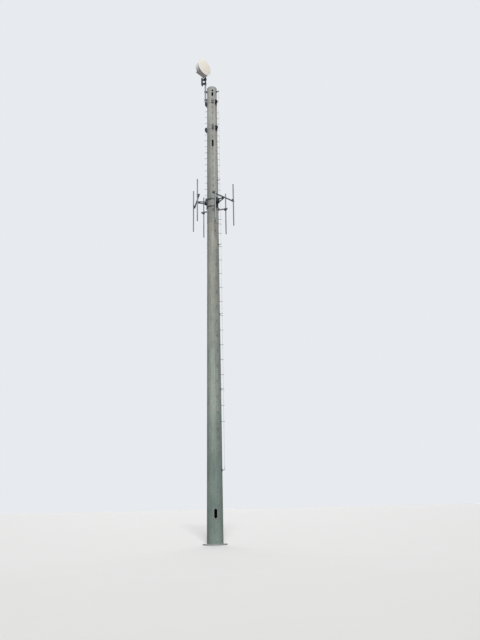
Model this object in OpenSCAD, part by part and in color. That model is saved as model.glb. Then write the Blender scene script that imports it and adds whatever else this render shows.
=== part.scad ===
// Monopole cell tower: an 18-sided galvanised steel shaft in two slip-jointed sections, with
// step pegs, a safety climb cable, an empty three-sector antenna mount, two empty flush-mount
// collars and a drum dish on a side pipe at the top. Millimetres, +Z up.
// The origin is the middle of the underside of the base flange, where it meets its anchors.
// Directions round the shaft are angles from -Y, positive towards +X.

/* [Shaft] */
// Size of the shaft across its flats at the ground
base_across = 740; // [680:5:820]
// How much the shaft narrows in each metre of height, across its flats
taper = 9; // [7:0.1:10]
// Thickness of the shaft's plate
wall = 6; // [5:0.5:10]
// Height of the lower edge of the upper section
lap_z = 15950; // [15400:10:16200]
// Length of the slip joint
lap_length = 900; // [700:10:1000]
// Height of the top of the upper section
shaft_top_z = 24450; // [24300:10:24800]
// Thickness of the cap on the shaft
cap_t = 10; // [6:1:20]
// How far the cap stands out past the shaft
cap_lip = 8; // [4:1:20]

/* [Base] */
// Diameter of the base flange
flange_d = 1120; // [1080:10:1250]
// Thickness of the base flange
flange_t = 50; // [38:1:70]
// Diameter of the opening in the middle of the base flange
flange_hole_d = 520; // [400:10:600]
// Distance from the middle of an anchor hole to the edge of the flange
anchor_edge = 85; // [70:5:95]
// Diameter of each anchor hole
anchor_hole_d = 64; // [50:1:70]
// Number of anchor holes
anchor_count = 12; // [8:2:16]

/* [Ports] */
// Height of the middle of the cable entry port near the base
entry_z = 1350; // [1000:10:1700]
// Width of the cable entry port
entry_w = 150; // [120:5:200]
// Length of the cable entry port
entry_l = 420; // [320:10:500]
// Width of the cable exit ports near the top
port_w = 105; // [80:5:110]
// Height of the middle of the long exit port
long_port_z = 20735; // [20700:5:20900]
// Length of the long exit port
long_port_l = 430; // [300:10:440]
// Height of the middle of the tall exit port
tall_port_z = 23940; // [23900:5:23960]
// Length of the tall exit port
tall_port_l = 260; // [180:10:280]
// Height of the middle of the small exit port
small_port_z = 24190; // [24180:5:24220]
// Length of the small exit port
small_port_l = 115; // [110:5:130]
// How far the welded rim of a port stands out from the shaft
rim_out = 14; // [8:1:30]
// Width of the metal of a rim
rim_w = 12; // [8:1:20]

/* [Climbing] */
// Rise from one step peg to the next
peg_pitch = 381; // [350:1:400]
// Height that the peg rows are counted from
peg_z = 5160; // [5100:5:5200]
// Diameter of a step peg
peg_d = 16; // [14:1:22]
// Length of a step peg, from the shaft to the end of its head
peg_l = 178; // [150:1:200]
// Diameter of the head on the end of a peg
peg_head_d = 30; // [26:1:36]
// Diameter of the socket that a peg is screwed into
socket_d = 32; // [30:1:40]
// Length of a peg socket
socket_l = 34; // [25:1:45]
// Diameter of the safety climb cable
cable_d = 9.5; // [8:0.5:13]
// Clear distance from the shaft to the cable
cable_off = 150; // [120:5:170]
// Height of the bracket at the cable's lower end
cable_low_z = 3270; // [3000:10:3600]
// Height of the bracket at the cable's upper end
cable_high_z = 24210; // [24150:10:24260]
// Rise from one cable guide to the next
guide_pitch = 3810; // [3000:10:4500]

/* [Flush-mount collars] */
// Height of the middle of the upper collar
upper_collar_z = 23440; // [23400:5:23460]
// Height of the middle of the lower collar
lower_collar_z = 21740; // [21700:5:21900]
// Height of a collar's band
collar_h = 90; // [60:5:120]
// Thickness of a collar's band
collar_t = 10; // [6:1:16]
// How far a lug stands out from its band
lug_out = 120; // [100:5:130]
// Height of a lug
lug_h = 320; // [290:5:340]
// Gap between the two cheeks of a lug
lug_gap = 76; // [70:2:78]
// Thickness of a lug's plates
lug_t = 10; // [6:1:16]

/* [Antenna mount] */
// Height of the middle of the face pipes
mount_z = 17200; // [17150:10:17300]
// Direction of the right sector
sector_turn = 36; // [34:1:40]
// Distance from the shaft's axis to a face pipe
face_r = 860; // [820:5:950]
// Length of a face pipe
face_l = 1524; // [1450:1:1700]
// Outside diameter of a face pipe
face_d = 73; // [60:0.5:89]
// Wall of the mount's pipes
pipe_wall = 5; // [3:0.5:7]
// Distance from the middle of a face pipe to each antenna pipe
antenna_off = 640; // [560:5:660]
// Length of an antenna pipe
antenna_l = 2438; // [2000:1:2600]
// Outside diameter of an antenna pipe
antenna_d = 60.3; // [48:0.1:73]
// How far the middle of an antenna pipe lies below the face pipe
antenna_drop = 260; // [200:10:500]
// Height of each of the two bands round the shaft
band_h = 80; // [60:5:100]
// Thickness of those bands
band_t = 10; // [6:1:16]
// Height from the middle of one band to the middle of the other
band_pitch = 430; // [380:5:460]
// Width of a saddle plate
saddle_w = 240; // [200:5:260]
// Thickness of a saddle plate
saddle_t = 12; // [8:1:20]
// Width across the root of a stand-off frame
frame_root_w = 270; // [240:5:280]
// Size of the square bars of a stand-off frame
frame_bar = 45; // [35:1:50]
// How far the rear face pipe has been slid along in its clamp
rear_shift = 210; // [0:5:250]
// Side of the square plates that clamp pipes to each other
clamp_w = 150; // [130:5:180]
// Thickness of those plates
clamp_t = 10; // [6:1:16]

/* [Dish] */
// Outside diameter of the dish's drum
dish_d = 960; // [900:5:1000]
// Depth of the drum
dish_depth = 280; // [200:5:320]
// Thickness of the drum's sheet
dish_wall = 4; // [2:0.5:8]
// Height of the radome's dome
radome_rise = 40; // [20:1:60]
// Height of the middle of the dish
dish_z = 25530; // [25500:5:25650]
// Direction that the dish faces
dish_turn = 40; // [30:1:50]
// Distance from the pipe's axis to the back of the drum, along the dish's axis
dish_ahead = 120; // [110:1:160]
// Distance from the pipe's axis to the dish's axis, sideways
dish_aside = 450; // [430:5:480]
// Outside diameter of the dish's pipe
dish_pipe_d = 89; // [73:1:102]
// How far the dish's pipe runs down beside the shaft
dish_pipe_lap = 830; // [810:5:850]
// How far the dish's pipe runs up past the middle of the dish
dish_pipe_rise = 430; // [300:5:500]
// Distance from the shaft to the nearest side of the pipe
dish_pipe_off = 60; // [50:1:90]
// Distance from the middle of the dish down to the middle of the radio unit
radio_drop = 520; // [500:5:540]
// Height of the radio unit
radio_h = 420; // [360:5:450]
// Width of the radio unit
radio_w = 200; // [160:5:240]
// Depth of the radio unit
radio_t = 90; // [70:1:120]

/* [Hidden] */
$fn = 48;
// Number of flat faces round the shaft
sides = 18;
// Angle from one face of the shaft to the next
face_step = 360 / sides;
// Lean of a face of the shaft towards its axis
lean = atan(taper / 2000);
// Gap of the slip joint, and between pieces that fit into each other
fit = 0.3;
// A length by which a cutting tool runs past what it cuts
past = 20;
// Directions of the peg lines, all in the middle of a face
lower_left_turn = face_step;
lower_right_turn = 5 * face_step;
upper_turns = [0, 6 * face_step, -6 * face_step];
// Directions of the lugs of the collars
lug_turns = [0, 2 * face_step, -5 * face_step];
// Direction of the climb cable, midway between the two lower peg lines
cable_turn = 3 * face_step;
// Direction of the dish's pipe
dish_pipe_turn = -5 * face_step;
sector_turns = [sector_turn, sector_turn + 120, sector_turn - 120];

// Size across the flats of the lower section, continued to any height
function across(z) = base_across - taper * z / 1000;
// Distance from the axis to a flat face, at any height
function flat_r(z) = z < lap_z ? across(z) / 2 : across(z) / 2 + fit + wall;
// Distance from the axis at which a flat plate facing a direction meets a polygon of that inner size
function touch_r(flat, turn) =
    let (off = abs((turn + 3600) % face_step - face_step / 2)) flat / cos(face_step / 2) * cos(off);

// Diameter of the circle of anchor holes
anchor_circle_d = flange_d - 2 * anchor_edge;

// Thickness of the head of a step peg
peg_head_t = 6;
// Height of a row of pegs
function row_z(n) = peg_z + n * peg_pitch;
// Lugs: height of the root plate, ends of the nose, and the two holes with their distance from the edge
lug_root_h = 180;
lug_nose_low = -20;
lug_nose_high = 100;
lug_bolt_d = 18;
lug_bolt_edge = 26;
// Tells whether a peg at a height keeps clear of fittings, given each one's height and length
function clear_of(z, blocks) = min([for (b = blocks) abs(z - b[0]) - b[1] / 2]) > socket_d;
collar_blocks = [[upper_collar_z, collar_h], [lower_collar_z, collar_h]];
lug_blocks = [[upper_collar_z, lug_root_h], [lower_collar_z, lug_root_h]];
port_blocks = [
    [long_port_z, long_port_l + 2 * rim_w], [tall_port_z, tall_port_l + 2 * rim_w],
    [small_port_z, small_port_l + 2 * rim_w]
];
// Two more pegs on the right and one on the left stand on the thicker plate over the slip joint
lap_peg_z = lap_z + 50;
lap_peg_rise = 270;
lower_left_rows = concat([row_z(-1)], [for (n = [0:2:26]) row_z(n)], [row_z(27), lap_peg_z]);
lower_right_rows = concat([for (n = [1:2:27]) row_z(n)], [lap_peg_z, lap_peg_z + lap_peg_rise]);
// The upper lines have a peg in every row, apart from rows with a band, lug or port on the same face
first_upper_row = 33;
last_upper_row = 49;
upper_side_rows = [
    for (n = [first_upper_row:last_upper_row]) if (clear_of(row_z(n), collar_blocks)) row_z(n)
];
upper_front_rows = [
    for (z = upper_side_rows) if (clear_of(z, lug_blocks) && clear_of(z, port_blocks)) z
];
// Distance from the shaft's axis to the climb cable, a straight line from its foot to its head
function cable_r(z) =
    let (low_r = flat_r(cable_low_z) + cable_off, high_r = flat_r(cable_high_z) + cable_off)
    low_r + (z - cable_low_z) * (high_r - low_r) / (cable_high_z - cable_low_z);
cable_lean = atan((cable_r(cable_low_z) - cable_r(cable_high_z)) / (cable_high_z - cable_low_z));
// Length of cable past each end bracket
cable_tail = 50;
guide_rows = [for (z = [cable_low_z + guide_pitch:guide_pitch:cable_high_z - guide_pitch / 2]) z];
// End brackets and guides of the cable: height of the plate, width and thickness of the arm
end_bracket = [180, 60, 12];
guide_bracket = [80, 30, 8];
// Thickness of the plates of brackets, and how far they stand out past the arm
bracket_t = 10;
bracket_edge = 12;
// Gap between the parts of a collar, behind each lug
collar_gap = 20;
// Ears of the mount's bands: gap, thickness and reach
ear_gap = 12;
ear_t = 10;
ear_out = 55;
// The mount's lower band, and its saddles with their cheeks and root plates
low_band_drop = 330;
low_band_z = mount_z - low_band_drop;
saddle_edge = 20;
saddle_h = band_pitch + band_h + 2 * saddle_edge;
saddle_out = 75;
cheek_h = 300;
root_drop = 130;
cheek_z = mount_z - root_drop - low_band_z + band_h / 2;
root_t = 12;
// How far the bars of a stand-off frame lie below the face pipe
frame_drop = 50;
// How far each face pipe is slid along in its clamp
sector_shifts = [0, rear_shift, 0];
// Distance from the shaft's axis to the middle of an antenna pipe
antenna_r = face_r + face_d / 2 + clamp_t + antenna_d / 2 + 2 * fit;
// Dish: its drum inside the rim, the rim's width along the axis, and the depth of the bowl behind
dish_lip = 15;
drum_d = dish_d - 2 * dish_lip;
rim_h = 25;
bowl_depth = 110;
// Width of the drum's edge that shows round the radome
radome_edge = 12;
// Dish mount: hub plate, yoke behind it, arm to the pipe and block round the pipe
hub_d = 260;
hub_t = 12;
yoke_w = 150;
yoke_depth = 150;
yoke_rise = 90;
arm_h = 90;
mount_block_edge = 15;
mount_block_w = dish_pipe_d + 2 * mount_block_edge;
mount_block_h = 320;
// Strut: place of its foot on the back of the drum, slope of the drum there, and its sizes
strut_reach = 0.9;
strut_r = strut_reach * drum_d / 2;
strut_spoke = 228;
strut_slope = atan(8 * bowl_depth * strut_r / (drum_d * drum_d));
strut_d = 45;
strut_foot_d = 90;
strut_t = 12;
strut_post = 60;
strut_block_h = 40;
// The dish's pipe: distance from the shaft's axis, and heights of its ends and brackets
dish_pipe_r = flat_r(shaft_top_z) + dish_pipe_off + dish_pipe_d / 2;
dish_pipe_low_z = shaft_top_z - dish_pipe_lap;
dish_pipe_high_z = dish_z + dish_pipe_rise;
low_bracket_rise = 130;
high_bracket_drop = 150;
pipe_bracket_rows = [dish_pipe_low_z + low_bracket_rise, shaft_top_z - high_bracket_drop];
pipe_plate_w = 90;
pipe_plate_h = 150;
pipe_block_edge = 12;
pipe_block_w = dish_pipe_d + 2 * pipe_block_edge;
pipe_block_h = 60;
// Radio unit: clear distance from the pipe, clamps, fins and the connectors underneath
radio_z = dish_z - radio_drop;
radio_gap = 100;
radio_clamp_h = 50;
radio_clamp_off = 135;
strut_clear = 10;
strut_z = radio_z + radio_clamp_off + (radio_clamp_h + strut_block_h) / 2 + strut_clear;
fins = 7;
fin_t = 6;
plug_d = 24;
plug_h = 35;

// Regular polygon with the shaft's faces, given its size across the flats
module shaft_outline(size) {
    r = size / 2 / cos(face_step / 2);
    polygon([for (i = [0:sides - 1]) r * [cos(i * face_step), sin(i * face_step)]]);
}

// Solid shaft between two heights, given its size across the flats at each
module tapered_prism(low_z, high_z, low_size, high_size) {
    translate([0, 0, low_z])
        linear_extrude(height = high_z - low_z, scale = high_size / low_size)
            shaft_outline(low_size);
}

// Tapered tube, whose faces keep to the lines of across(), with extra on every side
module tapered_tube(low_z, high_z, extra) {
    difference() {
        tapered_prism(low_z, high_z, across(low_z) + 2 * extra, across(high_z) + 2 * extra);
        tapered_prism(
            low_z - past, high_z + past,
            across(low_z - past) + 2 * (extra - wall), across(high_z + past) + 2 * (extra - wall)
        );
    }
}

// Puts its children on a face: y = 0 is the shaft's surface and -Y points away from it
module on_face(turn, z) {
    rotate([0, 0, turn])
        translate([0, -flat_r(z), z])
            rotate([-lean, 0, 0])
                children();
}

// Straight ring that follows the shaft's faces, seated on them at its lower edge
module face_band(z, height, thickness) {
    low = z - height / 2;
    translate([0, 0, low])
        linear_extrude(height = height)
            difference() {
                shaft_outline(2 * (flat_r(low) + thickness));
                shaft_outline(2 * flat_r(low));
            }
}

// Slot with round ends, standing upright in the XY plane
module slot_outline(width, length) {
    square([width, length - width], center = true);
    for (side = [-1, 1])
        translate([0, side * (length - width) / 2])
            circle(d = width, $fn = 32);
}

// Tool that cuts a port through the plate at a height of the front face
module port_cut(z, width, length) {
    on_face(0, z)
        translate([0, wall + past, 0])
            rotate([90, 0, 0])
                linear_extrude(height = wall + 2 * past)
                    slot_outline(width, length);
}

// Rim welded round a port
module port_rim(z, width, length) {
    on_face(0, z)
        rotate([90, 0, 0])
            linear_extrude(height = rim_out)
                difference() {
                    slot_outline(width + 2 * rim_w, length + 2 * rim_w);
                    slot_outline(width, length);
                }
}

module base_flange() {
    color("silver")
        difference() {
            cylinder(d = flange_d, h = flange_t, $fn = 96);
            translate([0, 0, -past])
                cylinder(d = flange_hole_d, h = flange_t + 2 * past, $fn = 96);
            for (i = [0:anchor_count - 1])
                rotate([0, 0, (i + 0.5) * 360 / anchor_count])
                    translate([anchor_circle_d / 2, 0, -past])
                        cylinder(d = anchor_hole_d, h = flange_t + 2 * past);
        }
}

module lower_shaft() {
    color("darkseagreen")
        difference() {
            tapered_tube(flange_t, lap_z + lap_length, 0);
            port_cut(entry_z, entry_w, entry_l);
        }
}

module upper_shaft() {
    color("silver")
        difference() {
            tapered_tube(lap_z, shaft_top_z, fit + wall);
            port_cut(long_port_z, port_w, long_port_l);
            port_cut(tall_port_z, port_w, tall_port_l);
            port_cut(small_port_z, port_w, small_port_l);
        }
}

module top_cap() {
    color("lightgray")
        translate([0, 0, shaft_top_z])
            linear_extrude(height = cap_t)
                shaft_outline(2 * (flat_r(shaft_top_z) + cap_lip));
}

module entry_port_rim() {
    color("silver") port_rim(entry_z, entry_w, entry_l);
}

// Two bent halves that meet half-way up the port
module long_port_rim() {
    color("silver")
        difference() {
            port_rim(long_port_z, port_w, long_port_l);
            translate([0, -flat_r(long_port_z), long_port_z])
                cube([2 * port_w, 4 * rim_out, fit], center = true);
        }
}

module tall_port_rim() {
    color("silver") port_rim(tall_port_z, port_w, tall_port_l);
}

module small_port_rim() {
    color("silver") port_rim(small_port_z, port_w, small_port_l);
}

// Step peg, with its head, standing out from a face
module peg(turn, z) {
    on_face(turn, z)
        rotate([90, 0, 0]) {
            cylinder(d = peg_d, h = peg_l, $fn = 24);
            translate([0, 0, peg_l - peg_head_t])
                cylinder(d = peg_head_d, h = peg_head_t, $fn = 24);
        }
}

// Welded socket that a step peg is screwed into
module peg_socket(turn, z) {
    on_face(turn, z)
        rotate([90, 0, 0])
            difference() {
                cylinder(d = socket_d, h = socket_l, $fn = 24);
                translate([0, 0, -past])
                    cylinder(d = peg_d + 2 * fit, h = socket_l + 2 * past, $fn = 24);
            }
}

module lower_left_pegs() {
    color("gray") for (z = lower_left_rows) peg(lower_left_turn, z);
}

module lower_right_pegs() {
    color("gray") for (z = lower_right_rows) peg(lower_right_turn, z);
}

module upper_front_pegs() {
    color("gray") for (z = upper_front_rows) peg(upper_turns[0], z);
}

module upper_right_pegs() {
    color("gray") for (z = upper_side_rows) peg(upper_turns[1], z);
}

module upper_left_pegs() {
    color("gray") for (z = upper_side_rows) peg(upper_turns[2], z);
}

module lower_peg_sockets() {
    color("darkgray") {
        for (z = lower_left_rows) peg_socket(lower_left_turn, z);
        for (z = lower_right_rows) peg_socket(lower_right_turn, z);
    }
}

module upper_peg_sockets() {
    color("darkgray") {
        for (z = upper_front_rows) peg_socket(upper_turns[0], z);
        for (z = upper_side_rows) peg_socket(upper_turns[1], z);
        for (z = upper_side_rows) peg_socket(upper_turns[2], z);
    }
}

module climb_cable() {
    run = cable_high_z - cable_low_z + 2 * cable_tail;
    color("dimgray")
        rotate([0, 0, cable_turn])
            translate([0, -cable_r(cable_low_z - cable_tail), cable_low_z - cable_tail])
                rotate([-cable_lean, 0, 0])
                    cylinder(d = cable_d, h = run / cos(cable_lean), $fn = 16);
}

// Bracket that stands on a face and holds the climb cable in a bore
module cable_bracket(z, sizes) {
    plate_h = sizes[0];
    arm_w = sizes[1];
    arm_t = sizes[2];
    reach = cable_r(z) - flat_r(z);
    on_face(cable_turn, z)
        difference() {
            union() {
                translate([-arm_w / 2 - bracket_edge, -bracket_t, -plate_h / 2])
                    cube([arm_w + 2 * bracket_edge, bracket_t, plate_h]);
                translate([-arm_w / 2, -reach - arm_w / 2, -arm_t / 2])
                    cube([arm_w, reach + arm_w / 2, arm_t]);
                translate([-bracket_t / 2, 0, 0])
                    rotate([90, 0, 90])
                        linear_extrude(height = bracket_t)
                            polygon([[0, 0], [-reach + arm_w / 2, 0], [0, -plate_h / 2]]);
            }
            translate([0, -reach, -past])
                cylinder(d = cable_d + 2 * fit, h = arm_t + 2 * past, $fn = 24);
        }
}

module cable_foot() {
    color("gray") cable_bracket(cable_low_z, end_bracket);
}

module cable_head() {
    color("gray") cable_bracket(cable_high_z, end_bracket);
}

module cable_guides() {
    color("gray") for (z = guide_rows) cable_bracket(z, guide_bracket);
}

// Flush-mount collar: a band in three parts, with a gap behind each lug
module collar(z) {
    low = z - collar_h / 2;
    difference() {
        face_band(z, collar_h, collar_t);
        for (turn = lug_turns)
            rotate([0, 0, turn])
                translate([-collar_gap / 2, -flat_r(low) - collar_t - past, low - past])
                    cube([collar_gap, collar_t + 3 * past, collar_h + 2 * past]);
    }
}

// Three lugs of a collar: a base plate with two drilled cheeks
module collar_lugs(z) {
    lug_w = lug_gap + 2 * lug_t;
    for (turn = lug_turns)
        rotate([0, 0, turn])
            translate([0, -flat_r(z - collar_h / 2) - collar_t, z])
                difference() {
                    union() {
                        translate([-lug_w / 2, -lug_t, -lug_root_h / 2])
                            cube([lug_w, lug_t, lug_root_h]);
                        for (side = [-1, 1])
                            translate([side * (lug_gap + lug_t) / 2 - lug_t / 2, 0, 0])
                                rotate([90, 0, 90])
                                    linear_extrude(height = lug_t)
                                        lug_outline();
                    }
                    for (height = [lug_nose_low + lug_bolt_edge, lug_nose_high - lug_bolt_edge])
                        translate([-lug_w, -lug_out + lug_bolt_edge, height])
                            rotate([0, 90, 0])
                                cylinder(d = lug_bolt_d, h = 2 * lug_w, $fn = 24);
                }
}

// One plate of a lug: its nose is in the upper half, and it tapers down to a narrow foot
module lug_outline() {
    polygon([
        [0, lug_h / 2], [-lug_out / 2, lug_h / 2], [-lug_out, lug_nose_high],
        [-lug_out, lug_nose_low], [-2 * lug_t, -lug_h / 2], [0, -lug_h / 2]
    ]);
}

module upper_collar() {
    color("gray") collar(upper_collar_z);
}

module upper_collar_lugs() {
    color("dimgray") collar_lugs(upper_collar_z);
}

module lower_collar() {
    color("gray") collar(lower_collar_z);
}

module lower_collar_lugs() {
    color("dimgray") collar_lugs(lower_collar_z);
}

// Two bands round the shaft, each in three parts that are bolted together at ears
module mount_bands() {
    color("gray")
        for (z = [low_band_z, low_band_z + band_pitch])
            difference() {
                union() {
                    face_band(z, band_h, band_t);
                    for (turn = sector_turns)
                        rotate([0, 0, turn + 60])
                            translate([-ear_gap / 2 - ear_t, -flat_r(z) - band_t - ear_out, z - band_h / 2])
                                cube([ear_gap + 2 * ear_t, ear_out + band_t / 2, band_h]);
                }
                for (turn = sector_turns)
                    rotate([0, 0, turn + 60])
                        translate([-ear_gap / 2, -flat_r(z) - band_t - ear_out - past, z - band_h / 2 - past])
                            cube([ear_gap, band_t + ear_out + 3 * past, band_h + 2 * past]);
            }
}

// Puts its children on the outside of the bands, in the direction of a sector
module on_bands(turn) {
    low = low_band_z - band_h / 2;
    rotate([0, 0, turn])
        translate([0, -touch_r(flat_r(low) + band_t, turn), low])
            rotate([-lean, 0, 0])
                children();
}

module mount_saddles() {
    color("dimgray")
        for (turn = sector_turns)
            on_bands(turn) {
                translate([-saddle_w / 2, -saddle_t, -saddle_edge])
                    cube([saddle_w, saddle_t, saddle_h]);
                for (side = [-1, 1])
                    translate([side * (saddle_w - saddle_t) / 2 - saddle_t / 2, -saddle_out, cheek_z])
                        cube([saddle_t, saddle_out, cheek_h]);
            }
}

// Stand-off of a sector: a root plate, a V-shaped frame and the plate that holds the face pipe
module standoff(turn) {
    root_y = touch_r(flat_r(low_band_z - band_h / 2) + band_t, turn) + saddle_out + root_t / 2;
    tip_y = face_r - face_d / 2 - fit - clamp_t;
    on_bands(turn)
        translate([-frame_root_w / 2, -saddle_out - root_t, cheek_z])
            cube([frame_root_w, root_t, cheek_h]);
    rotate([0, 0, turn])
        translate([0, 0, mount_z]) {
            translate([0, 0, -frame_drop - frame_bar / 2])
                linear_extrude(height = frame_bar)
                    difference() {
                        polygon([
                            [-frame_root_w / 2, -root_y], [frame_root_w / 2, -root_y],
                            [clamp_w / 2, -tip_y], [-clamp_w / 2, -tip_y]
                        ]);
                        polygon([
                            [-frame_root_w / 2 + frame_bar, -root_y - frame_bar],
                            [frame_root_w / 2 - frame_bar, -root_y - frame_bar],
                            [clamp_w / 2 - frame_bar, -tip_y + frame_bar],
                            [-clamp_w / 2 + frame_bar, -tip_y + frame_bar]
                        ]);
                    }
            translate([-clamp_w / 2, -tip_y - clamp_t, -clamp_w / 2])
                cube([clamp_w, clamp_t, clamp_w]);
        }
}

module right_standoff() {
    color("dimgray") standoff(sector_turns[0]);
}

module rear_standoff() {
    color("dimgray") standoff(sector_turns[1]);
}

module left_standoff() {
    color("dimgray") standoff(sector_turns[2]);
}

// Horizontal pipe across a sector
module face_pipe(i) {
    rotate([0, 0, sector_turns[i]])
        translate([sector_shifts[i] - face_l / 2, -face_r, mount_z])
            rotate([0, 90, 0])
                difference() {
                    cylinder(d = face_d, h = face_l);
                    translate([0, 0, -past])
                        cylinder(d = face_d - 2 * pipe_wall, h = face_l + 2 * past);
                }
}

module right_face_pipe() {
    color("slategray") face_pipe(0);
}

module rear_face_pipe() {
    color("slategray") face_pipe(1);
}

module left_face_pipe() {
    color("slategray") face_pipe(2);
}

// Upright antenna pipe outside a face pipe, on one side of its middle
module antenna_pipe(i, side) {
    rotate([0, 0, sector_turns[i]])
        translate([
            sector_shifts[i] + side * antenna_off, -antenna_r, mount_z - antenna_drop - antenna_l / 2
        ])
            difference() {
                cylinder(d = antenna_d, h = antenna_l);
                translate([0, 0, -past])
                    cylinder(d = antenna_d - 2 * pipe_wall, h = antenna_l + 2 * past);
            }
}

module right_near_antenna_pipe() {
    color("slategray") antenna_pipe(0, -1);
}

module right_far_antenna_pipe() {
    color("slategray") antenna_pipe(0, 1);
}

module rear_near_antenna_pipe() {
    color("slategray") antenna_pipe(1, -1);
}

module rear_far_antenna_pipe() {
    color("slategray") antenna_pipe(1, 1);
}

module left_near_antenna_pipe() {
    color("slategray") antenna_pipe(2, 1);
}

module left_far_antenna_pipe() {
    color("slategray") antenna_pipe(2, -1);
}

// Plates that clamp the upright pipes to the face pipes where they cross
module pipe_clamps() {
    color("dimgray")
        for (i = [0:2], side = [-1, 1])
            rotate([0, 0, sector_turns[i]])
                translate([
                    sector_shifts[i] + side * antenna_off - clamp_w / 2,
                    -face_r - face_d / 2 - fit - clamp_t, mount_z - clamp_w / 2
                ])
                    cube([clamp_w, clamp_t, clamp_w]);
}

// Puts its children at the dish's pipe, turned as the dish is: -Y is where the dish looks
module at_dish() {
    rotate([0, 0, dish_pipe_turn])
        translate([0, -dish_pipe_r, dish_z])
            rotate([0, 0, dish_turn - dish_pipe_turn])
                children();
}

// Puts its children on the dish's axis: z = 0 is the back rim of the drum, and +Z is forward
module on_dish_axis() {
    at_dish()
        translate([-dish_aside, -dish_ahead, 0])
            rotate([90, 0, 0])
                children();
}

// Depth of the bowl behind the drum's back rim, at a distance from its axis
function bowl(r) = bowl_depth * (1 - pow(r / (drum_d / 2), 2));

module dish_drum() {
    steps = 10;
    r = drum_d / 2;
    color("white")
        on_dish_axis()
            rotate_extrude($fn = 96)
                polygon(concat(
                    [for (i = [0:steps]) [r * i / steps, -bowl(r * i / steps)]],
                    [
                        [r, dish_depth - rim_h], [dish_d / 2, dish_depth - rim_h],
                        [dish_d / 2, dish_depth], [r - dish_wall, dish_depth]
                    ],
                    [for (i = [steps:-1:0]) [(r - dish_wall) * i / steps, dish_wall - bowl(r * i / steps)]]
                ));
}

// Height of the radome's dome at a distance from its axis
function dome(r) = radome_rise * (1 - pow(r / (dish_d / 2 - radome_edge), 2));

module dish_radome() {
    steps = 10;
    r = dish_d / 2 - radome_edge;
    color("ivory")
        on_dish_axis()
            translate([0, 0, dish_depth])
                rotate_extrude($fn = 96)
                    polygon(concat(
                        [for (i = [0:steps]) [r * i / steps, dish_wall + dome(r * i / steps)]],
                        [for (i = [steps:-1:0]) [r * i / steps, dome(r * i / steps)]]
                    ));
}

// Yoke behind the hub plate: two cheeks, narrower at the back, with a web between them
module yoke() {
    for (side = [-1, 1])
        translate([side * (yoke_w - hub_t) / 2 - hub_t / 2, 0, 0])
            rotate([90, 0, 90])
                linear_extrude(height = hub_t)
                    polygon([
                        [0, yoke_rise], [yoke_depth, yoke_rise / 2],
                        [yoke_depth, -yoke_rise / 2], [0, -yoke_rise]
                    ]);
    translate([-yoke_w / 2, yoke_depth - hub_t, -yoke_rise / 2])
        cube([yoke_w, hub_t, yoke_rise]);
}

// Round bar from one point to another
module bar(low, high, d) {
    run = high - low;
    translate(low)
        rotate([0, acos(run.z / norm(run)), atan2(run.y, run.x)])
            cylinder(d = d, h = norm(run));
}

// Foot of the strut, square to the back of the drum, and the bar from it to the pipe
module strut() {
    spread = [cos(strut_spoke), sin(strut_spoke)];
    lean = [sin(strut_slope), cos(strut_slope)];
    seat = [
        -dish_aside + strut_r * spread.x, -dish_ahead + bowl(strut_r), strut_r * spread.y
    ];
    out = [lean.x * spread.x, lean.y, lean.x * spread.y];
    bar(seat, seat + strut_t * out, strut_foot_d);
    bar(seat, seat + strut_post * out, strut_d);
    bar(seat + strut_post * out, [-dish_pipe_d / 2, 0, strut_z - dish_z], strut_d);
    translate([-mount_block_w / 2, -mount_block_w / 2, strut_z - dish_z - strut_block_h / 2])
        cube([mount_block_w, mount_block_w, strut_block_h]);
}

// Mount that carries the dish: a hub plate, a yoke, an arm, a strut and blocks clamped round the pipe
module dish_mount() {
    color("dimgray")
        at_dish()
            difference() {
                union() {
                    translate([-dish_aside, -dish_ahead + bowl_depth, 0])
                        rotate([-90, 0, 0])
                            cylinder(d = hub_d, h = hub_t);
                    translate([-dish_aside, -dish_ahead + bowl_depth + hub_t / 2, 0])
                        yoke();
                    strut();
                    translate([-dish_aside, -dish_ahead + bowl_depth + hub_t, -arm_h / 2])
                        cube([dish_aside, arm_h / 2, arm_h]);
                    translate([-mount_block_w / 2, -mount_block_w / 2, -mount_block_h / 2])
                        cube([mount_block_w, mount_block_w, mount_block_h]);
                }
                translate([0, 0, -2 * mount_block_h])
                    cylinder(d = dish_pipe_d + 2 * fit, h = 3 * mount_block_h);
            }
}

module dish_pipe() {
    color("slategray")
        rotate([0, 0, dish_pipe_turn])
            translate([0, -dish_pipe_r, dish_pipe_low_z])
                difference() {
                    cylinder(d = dish_pipe_d, h = dish_pipe_high_z - dish_pipe_low_z);
                    translate([0, 0, -past])
                        cylinder(
                            d = dish_pipe_d - 2 * pipe_wall,
                            h = dish_pipe_high_z - dish_pipe_low_z + 2 * past
                        );
                }
}

// Brackets that hold the dish's pipe beside the shaft
module dish_pipe_brackets() {
    color("dimgray")
        for (z = pipe_bracket_rows)
            difference() {
                union() {
                    on_face(dish_pipe_turn, z)
                        translate([-pipe_plate_w / 2, -bracket_t, -pipe_plate_h / 2])
                            cube([pipe_plate_w, bracket_t, pipe_plate_h]);
                    rotate([0, 0, dish_pipe_turn])
                        translate([-pipe_block_w / 2, -dish_pipe_r - pipe_block_w / 2, z - pipe_block_h / 2])
                            cube([
                                pipe_block_w, dish_pipe_r + pipe_block_w / 2 - flat_r(z) - bracket_t / 2,
                                pipe_block_h
                            ]);
                }
                rotate([0, 0, dish_pipe_turn])
                    translate([0, -dish_pipe_r, z - pipe_plate_h])
                        cylinder(d = dish_pipe_d + 2 * fit, h = 2 * pipe_plate_h);
            }
}

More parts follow.
